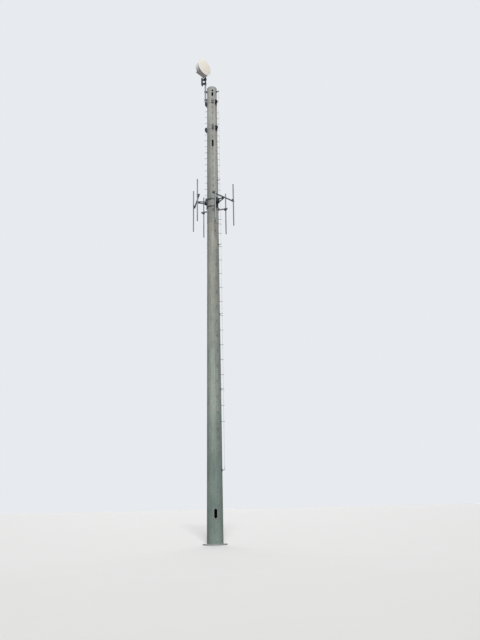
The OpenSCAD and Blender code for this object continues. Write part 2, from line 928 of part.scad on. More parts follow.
// Radio unit: a finned housing with two connectors underneath
module radio_unit() {
    back = dish_pipe_r + dish_pipe_d / 2 + radio_gap;
    color("lightgray")
        rotate([0, 0, dish_pipe_turn]) {
            translate([0, -back, radio_z - radio_h / 2])
                linear_extrude(height = radio_h) {
                    translate([-radio_w / 2, -radio_t / 2])
                        square([radio_w, radio_t / 2]);
                    for (i = [0:fins - 1])
                        translate([-radio_w / 2 + i * (radio_w - fin_t) / (fins - 1), -radio_t])
                            square([fin_t, radio_t]);
                }
            for (side = [-1, 1])
                translate([side * radio_w / 4, -back - radio_t / 4, radio_z - radio_h / 2 - plug_h])
                    cylinder(d = plug_d, h = plug_h, $fn = 24);
        }
}

module radio_clamps() {
    color("dimgray")
        for (side = [-1, 1])
            rotate([0, 0, dish_pipe_turn])
                translate([0, -dish_pipe_r, radio_z + side * radio_clamp_off - radio_clamp_h / 2])
                    difference() {
                        translate([-mount_block_w / 2, -dish_pipe_d / 2 - radio_gap, 0])
                            cube([mount_block_w, dish_pipe_d + radio_gap + bracket_t, radio_clamp_h]);
                        translate([0, 0, -past])
                            cylinder(d = dish_pipe_d + 2 * fit, h = radio_clamp_h + 2 * past);
                    }
}

base_flange();
lower_shaft();
upper_shaft();
top_cap();
entry_port_rim();
long_port_rim();
tall_port_rim();
small_port_rim();
lower_left_pegs();
lower_right_pegs();
upper_front_pegs();
upper_right_pegs();
upper_left_pegs();
lower_peg_sockets();
upper_peg_sockets();
climb_cable();
cable_foot();
cable_head();
cable_guides();
upper_collar();
upper_collar_lugs();
lower_collar();
lower_collar_lugs();
mount_bands();
mount_saddles();
right_standoff();
rear_standoff();
left_standoff();
right_face_pipe();
rear_face_pipe();
left_face_pipe();
right_near_antenna_pipe();
right_far_antenna_pipe();
rear_near_antenna_pipe();
rear_far_antenna_pipe();
left_near_antenna_pipe();
left_far_antenna_pipe();
pipe_clamps();
dish_drum();
dish_radome();
dish_mount();
dish_pipe();
dish_pipe_brackets();
radio_unit();
radio_clamps();
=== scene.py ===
"""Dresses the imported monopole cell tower: zinc, steel and paint finishes, welds, bolts, U-bolts,
the stranded climb cable and the dish's fittings, with a studio stage round it. Metres, +Z up."""

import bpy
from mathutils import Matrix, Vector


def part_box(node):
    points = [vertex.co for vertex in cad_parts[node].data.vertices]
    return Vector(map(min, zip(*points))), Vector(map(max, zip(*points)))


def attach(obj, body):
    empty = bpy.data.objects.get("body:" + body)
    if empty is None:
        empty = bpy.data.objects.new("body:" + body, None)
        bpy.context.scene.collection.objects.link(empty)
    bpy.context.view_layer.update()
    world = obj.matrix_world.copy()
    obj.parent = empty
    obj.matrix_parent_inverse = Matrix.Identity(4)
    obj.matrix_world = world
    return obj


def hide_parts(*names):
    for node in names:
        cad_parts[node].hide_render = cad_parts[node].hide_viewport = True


bl_info = {
    "name": "Monopole Tower Dresser",
    "version": (1, 0, 0),
    "blender": (4, 5, 0),
    "location": "3D View > Sidebar > Tower",
    "description": "Finishes and fittings for a galvanised monopole cell tower",
    "category": "Object",
}

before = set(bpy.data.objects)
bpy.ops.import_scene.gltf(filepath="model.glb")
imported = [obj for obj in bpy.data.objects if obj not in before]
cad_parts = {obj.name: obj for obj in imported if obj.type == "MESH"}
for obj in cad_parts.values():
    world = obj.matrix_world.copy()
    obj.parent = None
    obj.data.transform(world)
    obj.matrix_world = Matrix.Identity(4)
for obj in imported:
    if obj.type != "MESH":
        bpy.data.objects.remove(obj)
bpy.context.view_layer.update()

import math
from functools import cache
from typing import NamedTuple

import bmesh
import bpy
from bpy.props import FloatProperty, FloatVectorProperty, IntProperty, PointerProperty
from mathutils import Matrix, Vector
from mathutils.bvhtree import BVHTree

BODY = "root"
UP = Vector((0, 0, 1))

# The shaft's rule: eighteen faces, one of them facing -Y, and an even taper
FACES = 18
FACE_STEP = math.radians(360 / FACES)
TAPER = 0.009
LEAN = math.atan(TAPER / 2)
HALF_FACE = math.cos(FACE_STEP / 2)
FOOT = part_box("lower_shaft")
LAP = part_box("upper_shaft")

# Directions of the collars' lugs and of the climb cable, from -Y and positive towards +X
COLLAR_TURNS = [math.radians(angle) for angle in (0, 40, -100)]
CABLE_TURN = math.radians(60)

# Level distance from the shaft's axis at which the rays start that seat its bolts
CLEAR = 0.6

# Fillets are laid where a node's edges turn inward by more than this angle and run on this far
INWARD = 0.9
SHORTEST_FILLET = 0.012

COLLARS = ("upper_collar", "lower_collar")
LUGS = ("upper_collar_lugs", "lower_collar_lugs")
PORT_RIMS = ("entry_port_rim", "long_port_rim", "tall_port_rim", "small_port_rim")
PEG_SOCKETS = ("lower_peg_sockets", "upper_peg_sockets")
STANDOFFS = ("right_standoff", "rear_standoff", "left_standoff")
FACE_PIPES = ("right_face_pipe", "rear_face_pipe", "left_face_pipe")


# Places

def flat_r(z):
    """Distance from the shaft's axis to the middle of a face at a height."""
    low, high = LAP if z >= LAP[0].z else FOOT
    return high.x * HALF_FACE - TAPER / 2 * (z - low.z)


def outward(turn):
    """Level direction at an angle from -Y, positive towards +X."""
    return Vector((math.sin(turn), -math.cos(turn), 0))


def turn_of(point):
    """Angle from -Y of a point, positive towards +X."""
    return math.atan2(point.x, -point.y)


def on_face(turn, z):
    """Frame of a face: +X along the face, -Y away from it, +Z up the face."""
    return (
        Matrix.Rotation(turn, 4, "Z")
        @ Matrix.Translation((0, -flat_r(z), z))
        @ Matrix.Rotation(-LEAN, 4, "X")
    )


def circle(count, shift=0.0):
    """Cosine and sine of angles spread evenly round a circle, from a share of one step on."""
    turns = [2 * math.pi * (i + shift) / count for i in range(count)]
    return [(math.cos(turn), math.sin(turn)) for turn in turns]


def merged(node):
    """A CAD node's mesh with its triangles joined, which the caller frees."""
    mesh = bmesh.new()
    mesh.from_mesh(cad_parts[node].data)
    bmesh.ops.remove_doubles(mesh, verts=mesh.verts, dist=1e-5)
    return mesh


@cache
def islands(node):
    """Each separate solid of a CAD node, as (lowest corner, highest corner, middle of its points)."""
    mesh = merged(node)
    seen = set()
    found = []
    for start in mesh.verts:
        if start in seen:
            continue
        group = [start]
        seen.add(start)
        for vert in group:
            for edge in vert.link_edges:
                other = edge.other_vert(vert)
                if other not in seen:
                    seen.add(other)
                    group.append(other)
        places = [vert.co.copy() for vert in group]
        low, high = (Vector([pick(axis) for axis in zip(*places)]) for pick in (min, max))
        found.append((low, high, sum(places, Vector()) / len(places)))
    mesh.free()
    return found


def inner_corners(node):
    """Chains of a CAD node's inward edges, where its plates and bars are welded together."""
    mesh = merged(node)
    joints = [edge for edge in mesh.edges if edge.is_manifold]
    left = dict.fromkeys(edge for edge in joints if edge.calc_face_angle_signed() < -INWARD)
    chains = []
    while left:
        edge = next(iter(left))
        del left[edge]
        chain = [edge.verts[0], edge.verts[1]]
        for _ in range(2):
            while True:
                following = [other for other in chain[-1].link_edges if other in left]
                if len(following) != 1:
                    break
                del left[following[0]]
                chain.append(following[0].other_vert(chain[-1]))
            chain.reverse()
        line = [vert.co.copy() for vert in chain]
        if sum((b - a).length for a, b in zip(line, line[1:])) > SHORTEST_FILLET:
            chains.append(line)
    mesh.free()
    return chains


def middle(node):
    """Middle of a CAD node's box."""
    low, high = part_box(node)
    return (low + high) / 2


@cache
def sectors():
    """Direction of each sector of the antenna mount, with the middle of its face pipe."""
    pipes = [middle(node) for node in FACE_PIPES]
    turns = [turn_of(place) for _, _, place in islands("mount_saddles")]
    return [(turn, max(pipes, key=lambda pipe: pipe.dot(outward(turn)))) for turn in turns]


def sector_at(place):
    """The sector whose face pipe is nearest to a place."""
    return min(sectors(), key=lambda sector: (sector[1] - place).length)


@cache
def dish_frame():
    """Frame of the dish: +Z where it looks, +Y up, origin in its front rim; with depth and radius."""
    back = islands("dish_drum")[0][2]
    ahead = (islands("dish_radome")[0][2] - back).normalized()
    side = UP.cross(ahead)
    corners = [vert.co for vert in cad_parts["dish_drum"].data.vertices]
    reach = [(corner - back).dot(ahead) for corner in corners]
    radius = max(((corner - back) - ahead * run).length for corner, run in zip(corners, reach))
    turned = Matrix((side, UP, ahead)).transposed().to_4x4()
    place = Matrix.Translation(back + ahead * max(reach)) @ turned
    return place, max(reach) - min(reach), radius


@cache
def surface(node):
    """Search tree of a CAD node's faces."""
    mesh = bmesh.new()
    mesh.from_mesh(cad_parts[node].data)
    found = BVHTree.FromBMesh(mesh)
    mesh.free()
    return found


def seat(node, start, aim):
    """Mark of a fitting where a ray from start along aim meets a CAD node: (place, axis, side)."""
    place, normal, _, _ = surface(node).ray_cast(start, aim)
    if place is None:
        raise RuntimeError(f"nothing of {node} lies from {tuple(start)} along {tuple(aim)}")
    return place, -normal if normal.dot(aim) > 0 else normal, UP


def seat_at(node, turn, z, off=0.0):
    """Mark where a level ray from outside, in a direction and moved sideways, meets a CAD node."""
    out = outward(turn)
    return seat(node, out * CLEAR + UP.cross(out) * off + UP * z, -out)


# Node trees

class Graph:
    """A node tree being built. Its methods take sockets or plain values and give a result's socket."""

    def __init__(self, tree):
        self.tree = tree

    def feed(self, socket, value):
        """Links a socket to an input, or sets the input's own value."""
        if isinstance(value, bpy.types.NodeSocket):
            self.tree.links.new(value, socket)
        else:
            socket.default_value = value

    def add(self, kind, inputs=None, **settings):
        """Adds a node with its inputs and settings."""
        node = self.tree.nodes.new(kind)
        for name, value in settings.items():
            setattr(node, name, value)
        for key, value in (inputs or {}).items():
            self.feed(node.inputs[key], value)
        return node

    def first(self, kind, inputs=None, **settings):
        """First output of a new node."""
        return self.add(kind, inputs, **settings).outputs[0]

    def maths(self, operation, *values):
        return self.first("ShaderNodeMath", dict(enumerate(values)), operation=operation)

    def plus(self, first, second):
        return self.maths("ADD", first, second)

    def times(self, value, *factors):
        for factor in factors:
            value = self.maths("MULTIPLY", value, factor)
        return value

    def times_plus(self, value, factor, more):
        return self.maths("MULTIPLY_ADD", value, factor, more)

    def dot(self, first, second):
        inputs = {0: first, 1: second}
        return self.add("ShaderNodeVectorMath", inputs, operation="DOT_PRODUCT").outputs["Value"]

    def ramp(self, value, from_low, from_high, to_low=0.0, to_high=1.0):
        """A value carried smoothly from one range to another and held within it."""
        inputs = {
            "Value": value, "From Min": from_low, "From Max": from_high, "To Min": to_low, "To Max": to_high
        }
        return self.first("ShaderNodeMapRange", inputs, interpolation_type="SMOOTHSTEP")

    def mixed(self, factor, first, second, mode="MIX"):
        """Two colours mixed."""
        inputs = {0: factor, 6: rgba(first), 7: rgba(second)}
        return self.add("ShaderNodeMix", inputs, data_type="RGBA", blend_type=mode).outputs[2]

    def seen_rays(self):
        """1 for what the camera sees directly, in a reflection or through glass."""
        rays = self.add("ShaderNodeLightPath").outputs
        seen = self.maths("MAXIMUM", rays["Is Glossy Ray"], rays["Is Transmission Ray"])
        return self.maths("MAXIMUM", seen, rays["Is Camera Ray"])


def rgba(colour):
    """A colour as a socket's value. A socket passes through."""
    return colour if isinstance(colour, bpy.types.NodeSocket) else (*colour, 1.0)


class Finish(Graph):
    """A material being built: its tree, its shader and its Object coordinates."""

    def __init__(self, name):
        self.material = bpy.data.materials.new(name)
        self.material.use_nodes = True
        super().__init__(self.material.node_tree)
        self.shader = self.tree.nodes["Principled BSDF"]
        self.place = self.add("ShaderNodeTexCoord").outputs["Object"]
        self.x, self.y, self.z = self.add("ShaderNodeSeparateXYZ", {0: self.place}).outputs

    def set(self, **values):
        """Sets or links the shader's inputs. An underline in a name stands for a space."""
        for name, value in values.items():
            self.feed(self.shader.inputs[name.replace("_", " ")], value)

    def colour(self):
        """What gives the shader its colour so far."""
        return self.shader.inputs["Base Color"].links[0].from_socket

    def bump(self, height, strength, distance):
        """Links a height to the shader's normal."""
        inputs = {"Height": height, "Strength": strength, "Distance": distance}
        self.set(Normal=self.first("ShaderNodeBump", inputs))

    def noise(self, stretch, detail=4.0, roughness=0.55):
        """Noise from 0 to 1 on coordinates that are stretched by three numbers a metre."""
        moved = self.first("ShaderNodeMapping", {"Vector": self.place, "Scale": stretch})
        inputs = {"Vector": moved, "Scale": 1.0, "Detail": detail, "Roughness": roughness}
        return self.first("ShaderNodeTexNoise", inputs)

    def normal(self):
        return self.add("ShaderNodeNewGeometry").outputs["Normal"]

    def edge(self, radius):
        """1 on sharp edges and 0 on flats."""
        soft = self.first("ShaderNodeBevel", {"Radius": radius}, samples=4)
        return self.ramp(self.dot(soft, self.normal()), 0.995, 0.9)

    def spangle(self, size):
        """Zinc crystals: (lightness from 0 to 1 of each crystal, distance from its middle)."""
        wobble = self.add("ShaderNodeTexNoise", {"Vector": self.place, "Scale": 60.0}).outputs["Color"]
        shift = self.first("ShaderNodeVectorMath", {0: wobble, "Scale": size * 0.8}, operation="SCALE")
        place = self.first("ShaderNodeVectorMath", {0: self.place, 1: shift})
        cells = self.add("ShaderNodeTexVoronoi", {"Vector": place, "Scale": 1 / size}).outputs
        return self.first("ShaderNodeSeparateColor", {0: cells["Color"]}), cells["Distance"]

    def run_off(self, turn, half_width, top, length):
        """Mask of a streak that runs down from a place on the shaft."""
        inputs = {"Vector": self.place, "Axis": UP, "Angle": -turn}
        turned = self.first("ShaderNodeVectorRotate", inputs, rotation_type="AXIS_ANGLE")
        x, y, _ = self.add("ShaderNodeSeparateXYZ", {0: turned}).outputs
        across = self.ramp(self.maths("ABSOLUTE", x), half_width, 0.2 * half_width)
        side = self.maths("LESS_THAN", y, 0.0)
        under = self.ramp(self.z, top, top - 0.02)
        fade = self.ramp(self.z, top - length, top - 0.1 * length)
        return self.times(across, side, under, fade)

    def film(self, turn, low, high, fade):
        """Mask of a broad film between two heights, on one side of the shaft or all round (turn None)."""
        band = self.times(self.ramp(self.z, low - fade, low), self.ramp(self.z, high + fade, high))
        if turn is None:
            return band
        flat = self.first("ShaderNodeCombineXYZ", {0: self.x, 1: self.y})
        flat = self.first("ShaderNodeVectorMath", {0: flat}, operation="NORMALIZE")
        return self.times(self.ramp(self.dot(flat, outward(turn)), 0.25, 0.95), band)


# Finishes

class Film(NamedTuple):
    """A broad film that tints the shaft on the side of a turn, or all round where turn is None."""
    tint: tuple
    turn: float | None
    low: float
    high: float
    fade: float
    strength: float


class Stain(NamedTuple):
    """A streak down the shaft from a place on it: rain wash under fittings, darkening under the lap."""
    tint: tuple
    turn: float
    half_width: float
    top: float
    length: float
    strength: float


# Paler zinc of the edges: worn zinc together with a painted highlight
WORN_AND_HIGHLIGHT_ZINC = (0.62, 0.63, 0.62)
WARM_TINT = (1.045, 1.0, 0.975)
COOL_TINT = (0.95, 0.985, 0.99)


def zinc(name, light, dark, grain, worn_and_highlight=0.0, metal=0.2, rough=0.62, spread=0.065):
    """Weathered hot-dip zinc: crystals, rain streaks, dull patches, and paler edges, partly wear and
    partly a painted highlight. Gives the finish and its streaks."""
    finish = Finish(name)
    cell, centre = finish.spangle(grain)
    streaks = finish.noise((26, 26, 0.5), 6.0, 0.6)
    patches = finish.noise((1.7, 1.7, 0.8), 3.0)
    weather = finish.times_plus(streaks, 0.6, finish.times(patches, 0.4))
    colour = finish.mixed(finish.ramp(weather, 0.36, 0.62), dark, light)
    shade = finish.ramp(cell, 0.0, 1.0, 1 - spread, 1 + spread)
    shade = finish.first("ShaderNodeCombineColor", {0: shade, 1: shade, 2: shade})
    colour = finish.mixed(1.0, colour, shade, "MULTIPLY")
    if worn_and_highlight:
        # Paler edges: worn zinc and a painted highlight
        colour = finish.mixed(finish.edge(0.004), colour, finish.mixed(worn_and_highlight, colour, WORN_AND_HIGHLIGHT_ZINC))
    gloss = finish.times_plus(cell, 0.12, finish.times(streaks, 0.14))
    finish.set(Base_Color=colour, Metallic=metal, Roughness=finish.plus(gloss, rough - 0.13))
    finish.bump(finish.times_plus(finish.noise((240, 240, 240), 2.0), 0.5, centre), 0.12, 0.0008)
    return finish, streaks


def shaft_zinc(name, light, dark, stains, films):
    """Zinc of a shaft section, with films, what has run down it from ports and collars, and streaks under
    the lap.
    """
    finish, streaks = zinc(name, light, dark, 0.03, metal=0.0, rough=0.66, spread=0.13)
    tone = finish.ramp(finish.noise((9, 9, 4.5), 5.0, 0.65), 0.38, 0.62)
    tone = finish.mixed(tone, WARM_TINT, COOL_TINT)
    colour = finish.mixed(1.0, finish.colour(), tone, "MULTIPLY")
    patchy = finish.ramp(streaks, 0.35, 0.65, 0.7, 1.0)
    for tint, turn, low, high, fade, strength in films:
        mask = finish.times(finish.film(turn, low, high, fade), strength, patchy)
        colour = finish.mixed(mask, colour, tint, "MULTIPLY")
    drips = finish.ramp(finish.noise((38, 38, 0.9), 5.0, 0.6), 0.42, 0.6, 0.45, 1.0)
    for tint, turn, half_width, top, length, strength in stains:
        mask = finish.times(finish.run_off(turn, half_width, top, length), strength, drips)
        colour = finish.mixed(mask, colour, tint)
    finish.set(Base_Color=colour, Specular_IOR_Level=0.3)


def weld_metal(name, light, dark):
    """Galvanised weld: dull, with a ripple across the bead."""
    finish, _ = zinc(name, light, dark, 0.006, metal=0.35, rough=0.6)
    finish.bump(finish.noise((300, 300, 300), 3.0), 0.5, 0.001)


def paint(name, colour, dirt, rough, streak=0.35):
    """Painted sheet: faint orange peel, grime that rain has streaked, and dull edges."""
    finish = Finish(name)
    streaks = finish.ramp(finish.noise((30, 30, 3.0), 5.0, 0.6), 0.45, 0.75)
    clouds = finish.ramp(finish.noise((5, 5, 5)), 0.4, 0.7)
    grime = finish.times(finish.plus(streaks, clouds), streak / 2)
    mix = finish.mixed(grime, colour, dirt)
    mix = finish.mixed(finish.times(finish.edge(0.003), 0.25), mix, dirt)
    finish.set(Base_Color=mix, Roughness=finish.ramp(clouds, 0.0, 1.0, rough, rough + 0.18))
    finish.bump(finish.noise((420, 420, 420), 2.0), 0.1, 0.0004)
    return finish


def drum_paint(given):
    """White paint, with painted shade on the drum's underside and in the groove behind its rim."""
    finish = paint("drum_paint", given.drum, given.dirt, 0.38, streak=0.2)
    rim, _, _ = dish_frame()
    down = finish.add("ShaderNodeSeparateXYZ", {0: finish.normal()}).outputs[2]
    # Painted shade on the underside, where the drum faces down
    under = finish.times(finish.ramp(down, -0.3, -0.95), 0.7)
    inputs = {0: finish.place, 1: rim.translation}
    from_rim = finish.first("ShaderNodeVectorMath", inputs, operation="SUBTRACT")
    # Painted shade in the groove just behind the rim
    run = finish.dot(from_rim, rim.to_3x3() @ UP)
    corner = finish.times(finish.ramp(run, -0.085, -0.05), finish.ramp(run, -0.024, -0.036), 0.6)
    shade_mask = finish.maths("MAXIMUM", under, corner)
    finish.set(Base_Color=finish.mixed(shade_mask, finish.colour(), given.drum_painted_shade))


def radome_cloth(given):
    """Cloth that is white where it is stretched over the rim, and cream where the sun aged it."""
    finish = paint("radome_cloth", given.radome, given.dirt, 0.62, streak=0.08)
    rim, _, radius = dish_frame()
    inputs = {0: finish.place, 1: rim.translation}
    away = finish.add("ShaderNodeVectorMath", inputs, operation="DISTANCE").outputs["Value"]
    edge = finish.ramp(away, radius - 0.062, radius - 0.05)
    finish.set(Base_Color=finish.mixed(edge, finish.colour(), given.rim))
    finish.bump(finish.noise((700, 700, 700), 2.0), 0.08, 0.0004)


def rope_wire(given):
    """Drawn wire: fine lines along the strands, and grease in the hollows."""
    finish = Finish("rope_wire")
    lines = finish.noise((900, 900, 60), 3.0)
    grease = finish.ramp(finish.noise((9, 9, 2), 3.0), 0.4, 0.65)
    colour = finish.mixed(grease, given.wire, given.grease)
    finish.set(Base_Color=colour, Metallic=0.6, Roughness=finish.ramp(lines, 0.3, 0.7, 0.35, 0.6))
    finish.bump(lines, 0.3, 0.0004)


# Pieces made by Geometry Nodes

class Shape(Graph):
    """A geometry tree with named sizes. A size's name in brackets gives its socket."""

    def __init__(self, name, sizes):
        super().__init__(bpy.data.node_groups.new(name, "GeometryNodeTree"))
        face = self.tree.interface
        face.new_socket("Geometry", in_out="INPUT", socket_type="NodeSocketGeometry")
        for label, value in sizes.items():
            kind = "NodeSocketInt" if isinstance(value, int) else "NodeSocketFloat"
            face.new_socket(label, in_out="INPUT", socket_type=kind).default_value = value
        face.new_socket("Material", in_out="INPUT", socket_type="NodeSocketMaterial")
        face.new_socket("Geometry", in_out="OUTPUT", socket_type="NodeSocketGeometry")
        self.given = self.add("NodeGroupInput").outputs

    def __getitem__(self, label):
        return self.given[label]

    def half(self, value):
        return self.times(value, 0.5)

    def xyz(self, x=0.0, y=0.0, z=0.0):
        return self.first("ShaderNodeCombineXYZ", {0: x, 1: y, 2: z})

    def lift(self, shape, x=0.0, z=0.0):
        """Moves a shape along X and Z."""
        return self.first("GeometryNodeTransform", {"Geometry": shape, "Translation": self.xyz(x, z=z)})

    def block(self, x, y, z):
        """Box centred on the origin."""
        return self.first("GeometryNodeMeshCube", {"Size": self.xyz(x, y, z)})

    def prism(self, sides, radius, height):
        """Upright prism or cylinder centred on the origin."""
        inputs = {"Vertices": sides, "Radius": radius, "Depth": height}
        return self.first("GeometryNodeMeshCylinder", inputs)

    def post(self, sides, radius, height, base, x=0.0):
        """Upright prism or cylinder that stands on a height."""
        return self.lift(self.prism(sides, radius, height), x, self.times_plus(height, 0.5, base))

    def nut(self, flats, height, base, x=0.0):
        """Hexagon with a turned top, standing on a height."""
        corner = self.times(flats, 0.57735)
        body_h = self.times(height, 0.84)
        inputs = {
            "Vertices": 6, "Radius Bottom": corner, "Radius Top": self.times(corner, 0.87),
            "Depth": self.times(height, 0.16),
        }
        cone = self.first("GeometryNodeMeshCone", inputs)
        return [self.post(6, corner, body_h, base, x), self.lift(cone, x, self.plus(base, body_h))]

    def path(self, step):
        """The seed's edges as curves with a point at each step, and the distance along them."""
        line = self.first("GeometryNodeMeshToCurve", {"Mesh": self["Geometry"]})
        line = self.first("GeometryNodeResampleCurve", {"Curve": line, "Length": step}, mode="LENGTH")
        return line, self.along()

    def along(self):
        return self.add("GeometryNodeSplineParameter").outputs["Length"]

    def ring(self, points, radius=1.0):
        return self.first("GeometryNodeCurvePrimitiveCircle", {"Resolution": points, "Radius": radius})

    def tube(self, line, ring, scale=1.0):
        """Closed tube of a ring along a line."""
        inputs = {"Curve": line, "Profile Curve": ring, "Scale": scale, "Fill Caps": True}
        return self.first("GeometryNodeCurveToMesh", inputs)

    def attribute(self, name, kind):
        return self.first("GeometryNodeInputNamedAttribute", {"Name": name}, data_type=kind)

    def on_marks(self, parts):
        """Sets parts, joined, on each point of the seed, turned as its attribute says."""
        whole = self.add("GeometryNodeJoinGeometry")
        for part in reversed(parts):
            self.feed(whole.inputs[0], part)
        turn = self.attribute("turn", "QUATERNION")
        inputs = {"Points": self["Geometry"], "Instance": whole.outputs[0], "Rotation": turn}
        return self.first("GeometryNodeInstanceOnPoints", inputs)

    def close(self, shape, smooth=False):
        """Ends the tree: realises, shades and sets the material. Gives the finished tree."""
        shape = self.first("GeometryNodeRealizeInstances", {0: shape})
        if smooth:
            shape = self.first("GeometryNodeSetShadeSmooth", {0: shape})
        shape = self.first("GeometryNodeSetMaterial", {"Geometry": shape, "Material": self["Material"]})
        self.add("NodeGroupOutput", {0: shape})
        return self.tree


def bolt_tree():
    """Bolt head or nut on a washer, with the end of its thread."""
    bolt = Shape("Bolt", {
        "Flats": 0.024, "Height": 0.013, "Washer": 0.034, "Washer Height": 0.003, "Thread": 0.016,
        "Thread End": 0.008,
    })
    under = bolt["Washer Height"]
    top = bolt.plus(under, bolt["Height"])
    parts = [
        bolt.post(20, bolt.half(bolt["Washer"]), under, 0.0),
        bolt.post(12, bolt.half(bolt["Thread"]), bolt["Thread End"], top),
        *bolt.nut(bolt["Flats"], bolt["Height"], under),
    ]
    return bolt.close(bolt.on_marks(parts))


def u_bolt_tree():
    """U-bolt whose bend lies round the origin, legs down -Z, with a nut on each leg."""
    bolt = Shape("U-bolt", {
        "Bend": 0.04, "Rod": 0.0127, "Leg": 0.07, "Seat": 0.05, "Flats": 0.019, "Height": 0.011,
    })
    arc = bolt.times(bolt["Bend"], math.pi)
    end = bolt.xyz(z=bolt.times_plus(bolt["Leg"], 2.0, arc))
    line = bolt.first("GeometryNodeCurvePrimitiveLine", {"End": end})
    line = bolt.first("GeometryNodeResampleCurve", {"Curve": line, "Count": 33})
    past = bolt.maths("SUBTRACT", bolt.along(), bolt["Leg"])
    angle = bolt.maths("DIVIDE", bolt.maths("MAXIMUM", past, 0.0), bolt["Bend"])
    angle = bolt.maths("MINIMUM", angle, math.pi)
    x = bolt.times(bolt.maths("COSINE", angle), bolt["Bend"], -1.0)
    rise = bolt.times(bolt.maths("SINE", angle), bolt["Bend"])
    first_leg = bolt.maths("MINIMUM", past, 0.0)
    second_leg = bolt.maths("MAXIMUM", bolt.maths("SUBTRACT", past, arc), 0.0)
    place = bolt.xyz(x, z=bolt.maths("SUBTRACT", bolt.plus(rise, first_leg), second_leg))
    bent = bolt.first("GeometryNodeSetPosition", {"Geometry": line, "Position": place})
    parts = [bolt.tube(bent, bolt.ring(10, bolt.half(bolt["Rod"])))]
    under = bolt.times(bolt.plus(bolt["Seat"], bolt["Height"]), -1.0)
    for side in (-1.0, 1.0):
        parts += bolt.nut(bolt["Flats"], bolt["Height"], under, bolt.times(bolt["Bend"], side))
    return bolt.close(bolt.on_marks(parts))


def bead_tree():
    """Weld bead along each path, swelling and thinning as a hand-laid one does."""
    bead = Shape("Weld bead", {"Step": 0.006, "Ripple": 0.18})
    line, along = bead.path(bead["Step"])
    wave = bead.maths("SINE", bead.maths("DIVIDE", along, bead["Step"]))
    radius = bead.times(bead.attribute("bead", "FLOAT"), bead.times_plus(wave, bead["Ripple"], 1.0))
    return bead.close(bead.tube(line, bead.ring(8), radius), smooth=True)


def ferrule_tree():
    """Turned fitting along +Z: a collar, then a longer, thinner sleeve."""
    end = Shape("Ferrule", {"Collar": 0.022, "Collar Length": 0.02, "Sleeve": 0.016, "Sleeve Length": 0.1})
    parts = [
        end.post(20, end.half(end["Collar"]), end["Collar Length"], 0.0),
        end.post(20, end.half(end["Sleeve"]), end["Sleeve Length"], end["Collar Length"]),
    ]
    return end.close(end.on_marks(parts))


def clip_tree():
    """Bent clip over a rim that lies along Y, with +X away from the dish's axis, and its screw."""
    clip = Shape("Rim clip", {"Width": 0.024, "Reach": 0.026, "Drop": 0.03, "Plate": 0.003})
    half = clip.half(clip["Plate"])
    double = clip.times(clip["Plate"], 2)
    over = clip.block(clip["Reach"], clip["Width"], clip["Plate"])
    down = clip.block(clip["Plate"], clip["Width"], clip["Drop"])
    screw = clip.prism(6, clip.times(clip["Width"], 0.24), double)
    parts = [
        clip.lift(over, clip.times(clip["Reach"], -0.5), half),
        clip.lift(down, half, clip.times_plus(clip["Drop"], -0.5, clip["Plate"])),
        clip.lift(screw, clip.times(clip["Reach"], -0.55), double),
    ]
    return clip.close(clip.on_marks(parts))


def strand_tree():
    """Laid wire rope: a section with a lobe for each strand, turned as it runs."""
    rope = Shape("Strands", {"Radius": 0.00475, "Lay": 0.11, "Step": 0.01, "Strands": 6})
    line, along = rope.path(rope["Step"])
    turn = rope.times(rope.maths("DIVIDE", along, rope["Lay"]), 2 * math.pi)
    line = rope.first("GeometryNodeSetCurveTilt", {"Curve": line, "Tilt": turn})
    place = rope.first("GeometryNodeInputPosition")
    x, y, _ = rope.add("ShaderNodeSeparateXYZ", {0: place}).outputs
    lobes = rope.maths("COSINE", rope.times(rope.maths("ARCTAN2", y, x), rope["Strands"]))
    reach = rope.times(rope.times_plus(lobes, 0.1, 0.9), rope["Radius"])
    lobed = rope.first("ShaderNodeVectorMath", {0: place, "Scale": reach}, operation="SCALE")
    ring = rope.first("GeometryNodeSetPosition", {"Geometry": rope.ring(18), "Position": lobed})
    return rope.close(rope.tube(line, ring), smooth=True)


def marks(places):
    """Seed mesh with a point at each (place, axis, side) and its turn as an attribute."""
    mesh = bpy.data.meshes.new("seed")
    mesh.from_pydata([place for place, _, _ in places], [], [])
    turns = mesh.attributes.new("turn", "QUATERNION", "POINT")
    for item, (_, axis, side) in zip(turns.data, places):
        axis = axis.normalized()
        across = (side - axis * side.dot(axis)).normalized()
        item.value = Matrix((across, axis.cross(across), axis)).transposed().to_quaternion()
    return mesh


def paths(lines):
    """Seed mesh with a chain of edges for each (points, closed, radius of its bead)."""
    points, edges, radii = [], [], []
    for line, closed, radius in lines:
        first = len(points)
        points.extend(line)
        radii.extend([radius] * len(line))
        edges.extend((first + i, first + i + 1) for i in range(len(line) - 1))
        if closed:
            edges.append((first + len(line) - 1, first))
    mesh = bpy.data.meshes.new("seed")
    mesh.from_pydata(points, edges, [])
    mesh.attributes.new("bead", "FLOAT", "POINT").data.foreach_set("value", radii)
    return mesh


def grow(name, seed, tree, finish, sizes=None):
    """Runs a tree on a seed mesh and keeps the result as a plain mesh that rides on the tower."""
    start = bpy.data.objects.new(name + "_seed", seed)
    bpy.context.scene.collection.objects.link(start)
    modifier = start.modifiers.new("grow", "NODES")
    modifier.node_group = tree
    given = {**(sizes or {}), "Material": bpy.data.materials[finish]}
    for item in tree.interface.items_tree:
        if item.in_out == "INPUT" and item.name in given:
            modifier[item.identifier] = given[item.name]
    bpy.context.view_layer.update()
    graph = bpy.context.evaluated_depsgraph_get()
    mesh = bpy.data.meshes.new_from_object(start.evaluated_get(graph), depsgraph=graph)
    start.modifiers.remove(modifier)
    bpy.data.objects.remove(start)
    bpy.data.meshes.remove(seed)
    mesh.name = name
    piece = bpy.data.objects.new(name, mesh)
    bpy.context.scene.collection.objects.link(piece)
    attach(piece, BODY)
    return piece


# What a user can change

